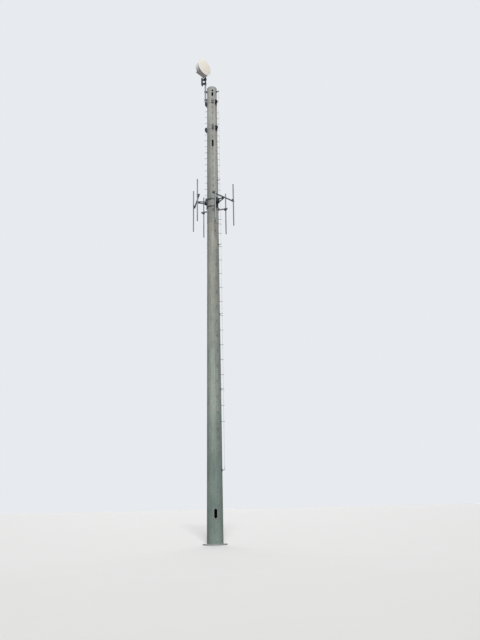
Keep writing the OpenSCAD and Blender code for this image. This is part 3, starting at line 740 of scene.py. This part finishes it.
def colour_prop(name, about, *value):
    return FloatVectorProperty(
        name=name, description=about, subtype="COLOR", default=value, min=0, max=1)


def length_prop(name, about, value, least, most):
    return FloatProperty(
        name=name, description=about, unit="LENGTH", default=value, min=least, max=most)


def angle_prop(name, about, degrees):
    return FloatProperty(
        name=name, description=about, subtype="ANGLE", default=math.radians(degrees))


class TowerColours(bpy.types.PropertyGroup):
    """Colours of the finishes"""
    upper_light: colour_prop("Upper zinc", "Bright zinc of the upper section", 0.425, 0.435, 0.405)
    upper_dark: colour_prop("Upper zinc, dull", "Dull zinc of the upper section", 0.275, 0.29, 0.275)
    lower_light: colour_prop("Lower zinc", "Bright zinc of the lower section", 0.385, 0.39, 0.35)
    lower_dark: colour_prop("Lower zinc, dull", "Dull zinc of the lower section", 0.225, 0.24, 0.215)
    # Greenish tint that also darkens the foot as painted shade
    foot: colour_prop("Foot film", "Greenish film towards the foot, as a tint", 0.45, 0.54, 0.54)
    cool: colour_prop("Cool film", "Faint blue-green film low on the shaft, as a tint", 0.87, 0.98, 1.0)
    film: colour_prop("Film", "Dull film on the sides of the shaft, as a tint", 0.53, 0.545, 0.53)
    rust: colour_prop("Rust", "Rust on the shaft beside the lugs", 0.17, 0.12, 0.095)
    stain: colour_prop("Stain", "What rain has washed off the fittings", 0.30, 0.235, 0.205)
    plate_light: colour_prop("Plate zinc", "Bright zinc of the flange, cap and port rims", 0.30, 0.315, 0.31)
    plate_dark: colour_prop("Plate zinc, dull", "Dull zinc of the flange, cap and rims", 0.19, 0.205, 0.205)
    collar_light: colour_prop("Collar zinc", "Bright zinc of the flush-mount collars", 0.37, 0.375, 0.35)
    collar_dark: colour_prop("Collar zinc, dull", "Dull zinc of the flush-mount collars", 0.25, 0.26, 0.24)
    # Peg zinc darkened with painted shade, for the shadows round the pegs and their sockets
    peg_shade_bright: colour_prop("Peg zinc", "Bright zinc of the step pegs", 0.13, 0.14, 0.14)
    peg_shade_dull: colour_prop("Peg zinc, dull", "Dull zinc of the step pegs", 0.055, 0.06, 0.065)
    # Painted shade: the mount and the lugs get near-black zinc because they stand in shade
    mount_shade_bright: colour_prop("Mount zinc", "Bright side of the antenna mount's zinc", 0.05, 0.056, 0.064)
    lug_shade_dull: colour_prop("Lug zinc, dull", "Almost black film on lugs and mount", 0.010, 0.012, 0.015)
    # Aged zinc that is also darkened with painted shade, for the bands, brackets, dish mount and cable
    # fittings
    old_shade_bright: colour_prop("Old zinc", "Bright zinc of the bands and brackets", 0.085, 0.092, 0.098)
    old_shade_dull: colour_prop("Old zinc, dull", "Dull zinc of the bands and brackets", 0.032, 0.036, 0.04)
    pipe_light: colour_prop("Pipe zinc", "Bright zinc of the pipes", 0.17, 0.19, 0.21)
    pipe_dark: colour_prop("Pipe zinc, dull", "Dull zinc of the pipes", 0.09, 0.10, 0.115)
    drum: colour_prop("Drum", "Paint of the dish's drum", 0.86, 0.87, 0.87)
    # Brown painted shade for the drum's underside and the groove behind its rim
    drum_painted_shade: colour_prop("Drum soil", "Film on the drum's underside and behind its rim", 0.30, 0.25, 0.21)
    radome: colour_prop("Radome", "Cloth of the dish's radome", 0.95, 0.885, 0.78)
    rim: colour_prop("Rim", "Edge of the radome, stretched over the dish's rim", 0.96, 0.965, 0.965)
    # Pale paint darkened to blue-grey with painted shade, for the radio under the dish
    radio: colour_prop("Radio", "Paint of the radio unit", 0.20, 0.225, 0.255)
    dirt: colour_prop("Dirt", "Grime on paint and in corners", 0.16, 0.15, 0.13)
    wire: colour_prop("Wire", "Clean wire of the climb cable", 0.30, 0.31, 0.32)
    grease: colour_prop("Grease", "Grease on the climb cable", 0.10, 0.095, 0.09)


class TowerFittings(bpy.types.PropertyGroup):
    """Sizes and numbers of the fittings"""
    flats: length_prop("Nut size", "Size of a 16 mm bolt's head across its flats", 0.024, 0.01, 0.05)
    rod: length_prop("U-bolt rod", "Diameter of the rod of the U-bolts", 0.0127, 0.006, 0.02)
    bead: length_prop("Weld bead", "Radius of the bead at the foot of the shaft", 0.008, 0.003, 0.015)
    rope: length_prop("Rope", "Diameter of the climb cable", 0.0095, 0.006, 0.014)
    clips: IntProperty(
        name="Rim clips", description="Number of clips that hold the radome on the dish's rim",
        default=20, min=8, max=40)
    strands: IntProperty(
        name="Strands", description="Number of outer strands of the climb cable",
        default=6, min=4, max=8)


class TowerStage(bpy.types.PropertyGroup):
    """Camera, floor, backdrop and lamps"""
    eye_height: length_prop("Eye height", "Height of the camera over the ground", 1.6, 0.5, 3)
    eye_distance: length_prop("Eye distance", "Level distance from the camera to the axis", 28.6, 10, 60)
    eye_turn: angle_prop("Eye direction", "Angle from -Y of the camera, positive towards -X", 5)
    heading: angle_prop("Heading", "Angle from +Y in which the camera looks, positive towards +X", 7.665)
    pitch: angle_prop("Pitch", "How far the camera looks up", 17.45)
    roll: angle_prop("Roll", "How far the camera is tilted sideways", 1.224)
    lens: FloatProperty(
        name="Lens", description="Focal length in millimetres on a 36 mm sensor",
        default=33.47, min=10, max=200)
    backdrop: colour_prop("Backdrop", "Colour behind the tower", 0.80, 0.83, 0.86)
    floor: colour_prop("Floor", "Colour of the floor", 0.84, 0.84, 0.83)
    bounce: colour_prop("Bounce", "Colour that the floor throws back on the tower", 0.36, 0.36, 0.36)
    key: FloatProperty(
        name="Main lamp", description="Strength of the main lamp", default=2.9, min=0, max=10)
    key_turn: angle_prop("Lamp direction", "Angle from -Y of the main lamp, positive towards +X", -4)
    key_height: angle_prop("Lamp height", "Angle of the main lamp over the ground", 34)
    key_spread: angle_prop("Lamp spread", "Angle that the main lamp fills, which softens its shadows", 9)
    back: FloatProperty(
        name="Back lamp", description="Strength of the soft lamp behind the tower",
        default=1.3, min=0, max=10)
    back_height: angle_prop("Back lamp height", "Angle of the back lamp over the ground", 25)
    back_spread: angle_prop("Back lamp spread", "Angle that the back lamp fills", 50)
    fill: FloatProperty(
        name="Fill", description="Strength of the light from all round", default=0.17, min=0, max=2)


# Operators

class TOWER_OT_stage(bpy.types.Operator):
    """Camera, floor, pale backdrop and soft light"""
    bl_idname = "tower.stage"
    bl_label = "Stage"

    SENSOR_WIDTH = 36
    FAR = 2000
    FLOOR_REACH = 600

    def execute(self, context):
        stage = context.scene.tower_stage
        context.scene.view_settings.view_transform = "Standard"
        self.camera(context, stage)
        self.floor(context, stage)
        self.world(context, stage)
        self.lamp(context, "main_lamp", stage.key, stage.key_turn, stage.key_height, stage.key_spread)
        behind = stage.key_turn + math.pi
        self.lamp(context, "back_lamp", stage.back, behind, stage.back_height, stage.back_spread)
        return {"FINISHED"}

    def camera(self, context, stage):
        data = bpy.data.cameras.new("photo_camera")
        data.sensor_width = self.SENSOR_WIDTH
        data.lens = stage.lens
        data.clip_end = self.FAR
        look = outward(math.pi - stage.heading) * math.cos(stage.pitch) + UP * math.sin(stage.pitch)
        level = look.cross(UP).normalized()
        upright = level.cross(look)
        up = upright * math.cos(stage.roll) + level * math.sin(stage.roll)
        right = level * math.cos(stage.roll) - upright * math.sin(stage.roll)
        eye = outward(-stage.eye_turn) * stage.eye_distance + UP * stage.eye_height
        camera = bpy.data.objects.new("photo_camera", data)
        camera.matrix_world = Matrix.Translation(eye) @ Matrix((right, up, -look)).transposed().to_4x4()
        context.scene.collection.objects.link(camera)
        context.scene.camera = camera

    def floor(self, context, stage):
        reach = self.FLOOR_REACH
        mesh = bpy.data.meshes.new("floor")
        corners = [(-reach, -reach, 0), (reach, -reach, 0), (reach, reach, 0), (-reach, reach, 0)]
        mesh.from_pydata(corners, [], [(0, 1, 2, 3)])
        finish = Finish("floor")
        grain = finish.noise((0.6, 0.6, 0.6), 3.0)
        shade = finish.mixed(grain, stage.floor, [value * 0.97 for value in stage.floor])
        shade = finish.mixed(finish.seen_rays(), stage.bounce, shade)
        finish.set(Base_Color=shade, Roughness=0.9)
        mesh.materials.append(finish.material)
        floor = bpy.data.objects.new("floor", mesh)
        context.scene.collection.objects.link(floor)

    def world(self, context, stage):
        world = bpy.data.worlds.new("studio")
        world.use_nodes = True
        world.node_tree.nodes.clear()
        graph = Graph(world.node_tree)
        light = graph.first("ShaderNodeBackground", {"Color": rgba((1, 1, 1)), "Strength": stage.fill})
        view = graph.first("ShaderNodeBackground", {"Color": rgba(stage.backdrop), "Strength": 1.0})
        both = graph.first("ShaderNodeMixShader", {0: graph.seen_rays(), 1: light, 2: view})
        graph.add("ShaderNodeOutputWorld", {"Surface": both})
        context.scene.world = world

    def lamp(self, context, name, strength, turn, height, spread):
        data = bpy.data.lights.new(name, "SUN")
        data.energy = strength
        data.angle = spread
        lamp = bpy.data.objects.new(name, data)
        aim = outward(turn) * math.cos(height) + UP * math.sin(height)
        lamp.rotation_euler = aim.to_track_quat("Z", "Y").to_euler()
        context.scene.collection.objects.link(lamp)


class TOWER_OT_finishes(bpy.types.Operator):
    """Procedural finish of every CAD node"""
    bl_idname = "tower.finishes"
    bl_label = "Finishes"

    NODES = {
        "plate_zinc": ("base_flange", "top_cap", *PORT_RIMS),
        "mount_zinc": ("mount_saddles", *STANDOFFS, "pipe_clamps"),
        "collar_zinc": COLLARS,
        "lug_zinc": LUGS,
        "old_zinc": (
            "mount_bands", "dish_mount", "dish_pipe_brackets", "radio_clamps", "cable_foot",
            "cable_head", "cable_guides",
        ),
        "pipe_zinc": (
            *FACE_PIPES, "right_far_antenna_pipe", "rear_near_antenna_pipe", "rear_far_antenna_pipe",
            "left_near_antenna_pipe", "left_far_antenna_pipe",
        ),
        # Pipes that get a paler zinc, partly newer zinc and partly painted sunlight
        "pale_pipe": ("right_near_antenna_pipe", "dish_pipe"),
        "peg_zinc": (
            "lower_left_pegs", "lower_right_pegs", "upper_front_pegs", "upper_right_pegs",
            "upper_left_pegs", *PEG_SOCKETS,
        ),
        "lower_zinc": ("lower_shaft",),
        "upper_zinc": ("upper_shaft",),
        "drum_paint": ("dish_drum",),
        "radome_cloth": ("dish_radome",),
        "radio_paint": ("radio_unit",),
        "rope_wire": ("climb_cable",),
    }

    # Angle round the shaft from the middle of a lug to the rust beside it
    RUST_BESIDE = 0.26

    def execute(self, context):
        given = context.scene.tower_colours
        self.steel(given)
        self.upper(given)
        self.lower(given)
        drum_paint(given)
        radome_cloth(given)
        # The radio's paint carries painted shade as well as its own colour
        paint("radio_paint", given.radio, given.dirt, 0.45)
        rope_wire(given)
        for name, nodes in self.NODES.items():
            for node in nodes:
                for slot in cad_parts[node].material_slots:
                    slot.link = "OBJECT"
                    slot.material = bpy.data.materials[name]
        return {"FINISHED"}

    def steel(self, given):
        """Zinc of everything but the shaft, and of the nuts and welds."""
        zinc("plate_zinc", given.plate_light, given.plate_dark, 0.014, worn_and_highlight=0.5)
        zinc("collar_zinc", given.collar_light, given.collar_dark, 0.014, worn_and_highlight=0.3)
        # Painted shade: near-black zinc for the lugs and the antenna mount
        lugs, _ = zinc("lug_zinc", given.old_shade_dull, given.lug_shade_dull, 0.012, worn_and_highlight=0.2, metal=0.0, rough=0.75)
        lugs.set(Specular_IOR_Level=0.2)
        # Aged zinc darkened further with painted shade, where the bands, brackets and dish mount lie in
        # shade
        zinc("old_zinc", given.old_shade_bright, given.old_shade_dull, 0.012, worn_and_highlight=0.35, rough=0.6)
        zinc("pipe_zinc", given.pipe_light, given.pipe_dark, 0.012, worn_and_highlight=0.4, rough=0.5)
        # Paler plate zinc for the front antenna pipe and the dish pipe: partly newer zinc, partly painted
        # sunlight
        zinc("pale_pipe", given.plate_light, given.plate_dark, 0.012, worn_and_highlight=0.3, rough=0.55)
        # Pegs and sockets darkened with painted shade
        zinc("peg_zinc", given.peg_shade_bright, given.peg_shade_dull, 0.008, worn_and_highlight=0.3)
        zinc("mount_zinc", given.mount_shade_bright, given.lug_shade_dull, 0.012, worn_and_highlight=0.3, metal=0.1, rough=0.65)
        zinc("nut_zinc", given.plate_light, given.plate_dark, 0.006, metal=0.6, rough=0.45)
        weld_metal("weld_zinc", given.upper_light, given.plate_dark)
        # Welds of those parts, darkened with the same painted shade
        weld_metal("old_weld", given.old_shade_bright, given.old_shade_dull)

    def upper(self, given):
        """Upper section: streaks under the lugs and ports, rust beside the lugs, a film on the left."""
        lugs = [(turn, middle(collar).z) for turn in COLLAR_TURNS for collar in COLLARS]
        ports = [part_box(node)[0].z for node in ("long_port_rim", "tall_port_rim")]
        wash, rust = given.stain, given.rust
        stains = [Stain(wash, turn, 0.10, top=z - 0.06, length=1.5, strength=0.75) for turn, z in lugs]
        stains += [Stain(wash, 0, 0.09, top=z, length=1.2, strength=0.7) for z in ports]
        for turn, z in lugs:
            turn -= self.RUST_BESIDE
            stains.append(Stain(rust, turn, 0.05, top=z + 0.10, length=0.32, strength=0.8))
        films = [Film(given.film, math.radians(-50), low=16.0, high=20.0, fade=3.0, strength=0.75)]
        shaft_zinc("upper_zinc", given.upper_light, given.upper_dark, stains, films)

    def lower(self, given):
        """Lower section: streaks under the lap, films on both sides, and a greenish film with painted shade
        towards the foot.
        """
        lap = LAP[0].z
        turns = [math.radians(degrees) for degrees in range(0, 360, 60)]
        # Streaks that darken the lower section for 0.9 m under the lap's edge
        stains = [Stain(given.stain, turn, 0.2, top=lap - 0.01, length=0.9, strength=0.4) for turn in turns]
        films = [
            Film(given.film, math.radians(50), low=5.0, high=14.0, fade=3.0, strength=0.5),
            Film(given.film, math.radians(-90), low=5.0, high=16.0, fade=3.0, strength=0.4),
            # Darker, greenish tint towards the foot: partly a greenish film, partly painted shade where
            # plants stand round it
            Film(given.foot, None, low=-1.0, high=2.4, fade=5.0, strength=0.85),
            Film(given.cool, None, low=-1.0, high=8.0, fade=5.0, strength=1.0),
        ]
        shaft_zinc("lower_zinc", given.lower_light, given.lower_dark, stains, films)


class TOWER_OT_welds(bpy.types.Operator):
    """Weld beads at the foot, port rims and peg sockets, fillets of the plates, and the shaft's seams"""
    bl_idname = "tower.welds"
    bl_label = "Welds"

    WELDED = (
        *LUGS, "mount_bands", "mount_saddles", *STANDOFFS, "cable_foot", "cable_head", "cable_guides",
        "dish_mount", "dish_pipe_brackets",
    )

    # Radii of the beads as shares of the one at the foot, and that of the line round a socket
    RIM = 0.55
    SOCKET = 0.38
    FILLET = 0.45
    SEAM = 0.35
    SOCKET_RING = 0.0165

    # Distance that keeps each section's seam off the lap's edge
    LAP_GAP = 0.001

    def execute(self, context):
        bead = context.scene.tower_fittings.bead
        lines = [(self.foot(), True, bead)]
        lines += [(self.rim(node), True, bead * self.RIM) for node in PORT_RIMS]
        for node in PEG_SOCKETS:
            lines += [(self.ring(place), True, bead * self.SOCKET) for _, _, place in islands(node)]
        grow("weld_beads", paths(lines), bead_tree(), "weld_zinc")
        lines = [(line, False, bead * self.FILLET) for node in self.WELDED for line in inner_corners(node)]
        grow("fillet_welds", paths(lines), bead_tree(), "old_weld")
        lines = [(self.seam(hand), False, bead * self.SEAM) for hand in (-1, 1)]
        sizes = {"Step": 0.05, "Ripple": 0.05}
        grow("seam_welds", paths(lines), bead_tree(), "weld_zinc", sizes)
        return {"FINISHED"}

    def foot(self):
        """Line round the shaft's corners where it stands on the flange."""
        z = FOOT[0].z
        corner = flat_r(z) / HALF_FACE
        return [Vector((corner * x, corner * y, z)) for x, y in circle(FACES)]

    def rim(self, node):
        """Line round a port's rim, whose ends are half round."""
        low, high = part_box(node)
        half_w = (high.x - low.x) / 2
        half_l = (high.z - low.z) / 2 - half_w
        place = on_face(0, (low.z + high.z) / 2)
        arc = circle(24)[:13]
        top = [place @ Vector((half_w * x, 0, half_l + half_w * z)) for x, z in arc]
        bottom = [place @ Vector((-half_w * x, 0, -half_l - half_w * z)) for x, z in arc]
        return top + bottom

    def ring(self, place):
        """Line round a peg's socket, on its face of the shaft."""
        face = on_face(turn_of(place), place.z)
        return [face @ Vector((self.SOCKET_RING * x, 0, self.SOCKET_RING * z)) for x, z in circle(16)]

    def seam(self, hand):
        """Line up a corner of the shaft where its two bent half shells meet, left or right."""
        lap = LAP[0].z
        heights = (FOOT[0].z, lap - self.LAP_GAP, lap + self.LAP_GAP, LAP[1].z)
        return [Vector((hand * flat_r(z) / HALF_FACE, 0, z)) for z in heights]


class TOWER_OT_bolts(bpy.types.Operator):
    """Bolts of the collars, bands, saddles and brackets, and the lock nuts of the pegs"""
    bl_idname = "tower.bolts"
    bl_label = "Bolts"

    # Half the distance between two bolts, up a lug and across a saddle
    LUG_BOLTS = 0.028
    SADDLE_BOLTS = 0.075

    # The bolt through a band's ears: its distance from the shaft's face, and a place beside them
    EAR_OUT = 0.04
    EAR_CLEAR = 0.2
    EAR_BOLT = {"Flats": 0.030, "Height": 0.016, "Washer": 0.042, "Thread": 0.02, "Thread End": 0.012}

    # How far a peg's socket stands out of the shaft's face
    SOCKET_OUT = 0.034
    PEG_NUT = {
        "Flats": 0.027, "Height": 0.012, "Washer": 0.030, "Washer Height": 0.0015, "Thread": 0.0175,
        "Thread End": 0.012,
    }

    def execute(self, context):
        places = self.lug_bolts() + self.saddle_bolts() + self.bracket_bolts()
        sizes = {"Flats": context.scene.tower_fittings.flats}
        grow("plate_bolts", marks(places), bolt_tree(), "nut_zinc", sizes)
        grow("ear_bolts", marks(self.ear_bolts()), bolt_tree(), "nut_zinc", self.EAR_BOLT)
        grow("peg_nuts", marks(self.peg_nuts()), bolt_tree(), "nut_zinc", self.PEG_NUT)
        return {"FINISHED"}

    def bands(self):
        """Height of each band of the antenna mount."""
        return sorted({round((low.z + high.z) / 2, 3) for low, high, _ in islands("mount_bands")})

    def lug_bolts(self):
        """Two bolts over each other in each lug."""
        return [
            seat_at(lugs, turn, middle(collar).z + height)
            for lugs, collar in zip(LUGS, COLLARS) for turn in COLLAR_TURNS
            for height in (-self.LUG_BOLTS, self.LUG_BOLTS)
        ]

    def saddle_bolts(self):
        """Two bolts beside each other in each saddle, level with each band."""
        return [
            seat_at("mount_saddles", turn, z, off)
            for turn, _ in sectors() for z in self.bands() for off in (-self.SADDLE_BOLTS, self.SADDLE_BOLTS)
        ]

    def bracket_bolts(self):
        """Bolts at the corners of the dish pipe's brackets, and over and under the climb cable's."""
        rows = [("dish_pipe_brackets", place, 0.03, 0.06) for _, _, place in islands("dish_pipe_brackets")]
        for node, half_h in (("cable_foot", 0.07), ("cable_head", 0.07), ("cable_guides", 0.03)):
            rows += [(node, (low + high) / 2, 0.0, half_h) for low, high, _ in islands(node)]
        places = []
        for node, place, half_w, half_h in rows:
            turn = round(turn_of(place) / FACE_STEP) * FACE_STEP
            for height in (-half_h, half_h):
                places += [seat_at(node, turn, place.z + height, off) for off in sorted({-half_w, half_w})]
        return places

    def ear_bolts(self):
        """A head and a nut on the ears of each band, which stand between the sectors."""
        places = []
        for turn, _ in sectors():
            out = outward(turn + math.radians(60))
            side = UP.cross(out)
            for z in self.bands():
                for hand in (-1, 1):
                    start = out * (flat_r(z) + self.EAR_OUT) + side * hand * self.EAR_CLEAR + UP * z
                    places.append(seat("mount_bands", start, -side * hand))
        return places

    def peg_nuts(self):
        """A nut on each peg, against the end of its socket."""
        places = []
        for node in PEG_SOCKETS:
            for _, _, place in islands(node):
                face = on_face(turn_of(place), place.z)
                out = (face @ Vector((0, -1, 0)) - face.translation).normalized()
                places.append((face @ Vector((0, -self.SOCKET_OUT, 0)), out, UP))
        return places


class TOWER_OT_u_bolts(bpy.types.Operator):
    """U-bolts where the antenna pipes cross the face pipes, and at the stand-offs"""
    bl_idname = "tower.u_bolts"
    bl_label = "U-bolts"

    # Half the distance between the two U-bolts of a clamp
    INSET = 0.055

    # Room for the plate between a pipe and the nuts, and what a leg has beyond its bend's radius
    PLATE = 0.011
    REACH = 0.03

    def execute(self, context):
        level = []
        upright = []
        spacing = self.spacing()
        rod = context.scene.tower_fittings.rod
        for _, _, place in islands("pipe_clamps"):
            turn, face = sector_at(place)
            out = outward(turn)
            side = UP.cross(out)
            axis = face + side * (place - face).dot(side)
            for shift in (-self.INSET, self.INSET):
                level.append((axis + side * shift, -out, UP))
                upright.append((axis + out * spacing + UP * shift, out, side))
        for turn, face in sectors():
            out = outward(turn)
            before_shaft = out * face.dot(out) + UP * face.z
            for shift in (-self.INSET, self.INSET):
                level.append((before_shaft + UP.cross(out) * shift, out, UP))
        low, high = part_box("right_face_pipe")
        self.grip("face_u_bolts", level, rod, high.z - low.z)
        low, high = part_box("right_near_antenna_pipe")
        self.grip("pipe_u_bolts", upright, rod, high.x - low.x)
        return {"FINISHED"}

    def grip(self, name, places, rod, pipe_d):
        """U-bolts that fit round a pipe."""
        bend = pipe_d / 2 + rod / 2
        sizes = {"Rod": rod, "Bend": bend, "Leg": bend + self.REACH, "Seat": bend - rod / 2 + self.PLATE}
        grow(name, marks(places), u_bolt_tree(), "nut_zinc", sizes)

    def spacing(self):
        """Distance from a face pipe's axis out to the antenna pipes' axes."""
        pipe = middle("right_near_antenna_pipe")
        turn, face = sector_at(pipe)
        return (pipe - face).dot(outward(turn))


class TOWER_OT_dish(bpy.types.Operator):
    """Rim clips, pressed ribs and bolts of the dish, its pipe's clamps and the radio unit"""
    bl_idname = "tower.dish"
    bl_label = "Dish"

    # The drum's ribs: their places as shares of its depth, how far in they lie, and their radius
    RIBS = (0.25, 0.45, 0.65)
    RIB_IN = 0.016
    RIB_R = 0.007

    # The hub's bolts: the radius of their circle, their angles on it, and a place behind the drum
    HUB_R = 0.112
    HUB_ANGLES = [math.radians(degrees) for degrees in (40, 90, 140, 220, 270, 320)]
    HUB_BEHIND = 0.4

    # Bolts of the blocks round the dish's pipe: beside the pipe, up the dish's own block, and how
    # far before a block their rays start
    CLAMP_BOLTS = (-0.051, 0.051)
    MOUNT_HEIGHTS = (-0.12, -0.05, 0.05, 0.12)
    CLAMP_CLEAR = 0.3
    CLAMP_BOLT = {
        "Flats": 0.015, "Height": 0.009, "Washer": 0.018, "Washer Height": 0.002, "Thread": 0.010,
        "Thread End": 0.007,
    }

    # The radio's screws: beside its middle, and as shares of its height
    RADIO_SCREWS = (-0.085, 0.085)
    RADIO_SHARES = (0.16, 0.39, 0.72, 0.95)
    RADIO_SCREW = {
        "Flats": 0.008, "Height": 0.005, "Washer": 0.011, "Washer Height": 0.001, "Thread": 0.004,
        "Thread End": 0.001,
    }

    def execute(self, context):
        place, depth, radius = dish_frame()
        ahead = place.to_3x3() @ UP
        clips = []
        for x, y in circle(context.scene.tower_fittings.clips, 0.5):
            out = place.to_3x3() @ Vector((x, y, 0))
            clips.append((place.translation + out * radius, ahead, out))
        grow("rim_clips", marks(clips), clip_tree(), "drum_paint")
        reach = radius - self.RIB_IN
        ribs = []
        for share in self.RIBS:
            ring = [place @ Vector((reach * x, reach * y, -share * depth)) for x, y in circle(72)]
            ribs.append((ring, True, self.RIB_R))
        sizes = {"Step": 0.03, "Ripple": 0.0}
        grow("drum_ribs", paths(ribs), bead_tree(), "drum_paint", sizes)
        bolts = self.hub_bolts(place, depth) + self.clamp_bolts(place)
        grow("clamp_bolts", marks(bolts), bolt_tree(), "nut_zinc", self.CLAMP_BOLT)
        screws = self.radio_screws()
        grow("radio_screws", marks(screws), bolt_tree(), "nut_zinc", self.RADIO_SCREW)
        return {"FINISHED"}

    def hub_bolts(self, place, depth):
        """Bolts of the mount's hub, on the drum's back."""
        bolts = []
        for turn in self.HUB_ANGLES:
            x, y = self.HUB_R * math.cos(turn), self.HUB_R * math.sin(turn)
            behind = place @ Vector((x, y, -depth - self.HUB_BEHIND))
            bolts.append(seat("dish_mount", behind, place.to_3x3() @ UP))
        return bolts

    def clamp_bolts(self, place):
        """Bolts of the blocks round the dish's pipe, on both sides of it."""
        ahead = place.to_3x3() @ UP
        pipe, out = self.pipe()
        rows = [("radio_clamps", out, block.z) for _, _, block in islands("radio_clamps")]
        rows += [("dish_pipe_brackets", -out, block.z) for _, _, block in islands("dish_pipe_brackets")]
        rows += [("dish_mount", ahead, place.translation.z + height) for height in self.MOUNT_HEIGHTS]
        bolts = []
        for node, aim, z in rows:
            for off in self.CLAMP_BOLTS:
                start = Vector((pipe.x, pipe.y, z)) - aim * self.CLAMP_CLEAR + UP.cross(aim) * off
                bolts.append(seat(node, start, aim))
        return bolts

    def radio_screws(self):
        """Screws up both edges of the radio unit's flat back."""
        low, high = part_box("radio_unit")
        pipe, out = self.pipe()
        screws = []
        for share in self.RADIO_SHARES:
            z = low.z + share * (high.z - low.z)
            for off in self.RADIO_SCREWS:
                start = Vector((pipe.x, pipe.y, z)) + UP.cross(out) * off
                screws.append(seat("radio_unit", start, out))
        return screws

    def pipe(self):
        """Middle of the dish's pipe, and the level direction to it from the shaft."""
        pipe = middle("dish_pipe")
        return pipe, Vector((pipe.x, pipe.y, 0)).normalized()


class TOWER_OT_climb_cable(bpy.types.Operator):
    """Stranded climb cable with its end fittings"""
    bl_idname = "tower.climb_cable"
    bl_label = "Climb cable"

    # How far inside the plain rod's ends the strands end, and how far the fittings start from the
    # middle of their brackets
    END_IN = 0.001
    FROM_BRACKET = 0.02
    SLEEVE = {"Collar": 0.026, "Collar Length": 0.012, "Sleeve": 0.020, "Sleeve Length": 0.045}

    def execute(self, context):
        given = context.scene.tower_fittings
        low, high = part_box("climb_cable")
        side = outward(CABLE_TURN)
        reach_low = max(abs(high.x), abs(low.x)) - given.rope / 2 * abs(side.x)
        reach_high = min(abs(high.x), abs(low.x)) + given.rope / 2 * abs(side.x)
        foot = side * (reach_low / side.x) + UP * (low.z + self.END_IN)
        head = side * (reach_high / side.x) + UP * (high.z - self.END_IN)
        seed = paths([([foot, head], False, given.rope / 2)])
        sizes = {"Radius": given.rope / 2, "Strands": given.strands}
        piece = grow("climb_rope", seed, strand_tree(), "rope_wire", sizes)
        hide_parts("climb_cable")
        self.fittings(foot, (head - foot).normalized(), side)
        return {"FINISHED"}

    def fittings(self, foot, along, side):
        """Swaged ends over and under the end brackets, and a sleeve at each guide."""
        def mark(z, axis):
            return foot + along * ((z - foot.z) / along.z), axis, side

        ends = [
            mark(middle("cable_foot").z + self.FROM_BRACKET, along),
            mark(middle("cable_head").z - self.FROM_BRACKET, -along),
        ]
        grow("rope_ends", marks(ends), ferrule_tree(), "nut_zinc")
        heights = [(low.z + high.z) / 2 for low, high, _ in islands("cable_guides")]
        guides = [mark(z - self.FROM_BRACKET, along) for z in heights]
        grow("rope_sleeves", marks(guides), ferrule_tree(), "old_zinc", self.SLEEVE)


class TOWER_PT_panel(bpy.types.Panel):
    """Steps that dress the tower"""
    bl_idname = "TOWER_PT_panel"
    bl_label = "Tower"
    bl_space_type = "VIEW_3D"
    bl_region_type = "UI"
    bl_category = "Tower"

    def draw(self, context):
        for step in STEPS:
            self.layout.operator(step.bl_idname)
        for scene_name in GROUPS:
            group = getattr(context.scene, scene_name)
            box = self.layout.box()
            for name in group.bl_rna.properties.keys():
                if name not in {"rna_type", "name"}:
                    box.prop(group, name)


STEPS = (
    TOWER_OT_stage, TOWER_OT_finishes, TOWER_OT_welds, TOWER_OT_bolts, TOWER_OT_u_bolts,
    TOWER_OT_dish, TOWER_OT_climb_cable,
)
GROUPS = {"tower_colours": TowerColours, "tower_fittings": TowerFittings, "tower_stage": TowerStage}


def register():
    for kind in (*GROUPS.values(), *STEPS, TOWER_PT_panel):
        bpy.utils.register_class(kind)
    for name, kind in GROUPS.items():
        setattr(bpy.types.Scene, name, PointerProperty(type=kind))


def unregister():
    for name in GROUPS:
        delattr(bpy.types.Scene, name)
    for kind in reversed((*GROUPS.values(), *STEPS, TOWER_PT_panel)):
        bpy.utils.unregister_class(kind)


def main():
    register()
    bpy.ops.tower.stage()
    bpy.ops.tower.finishes()
    bpy.ops.tower.welds()
    bpy.ops.tower.bolts()
    bpy.ops.tower.u_bolts()
    bpy.ops.tower.dish()
    bpy.ops.tower.climb_cable()


if __name__ == "__main__":
    main()
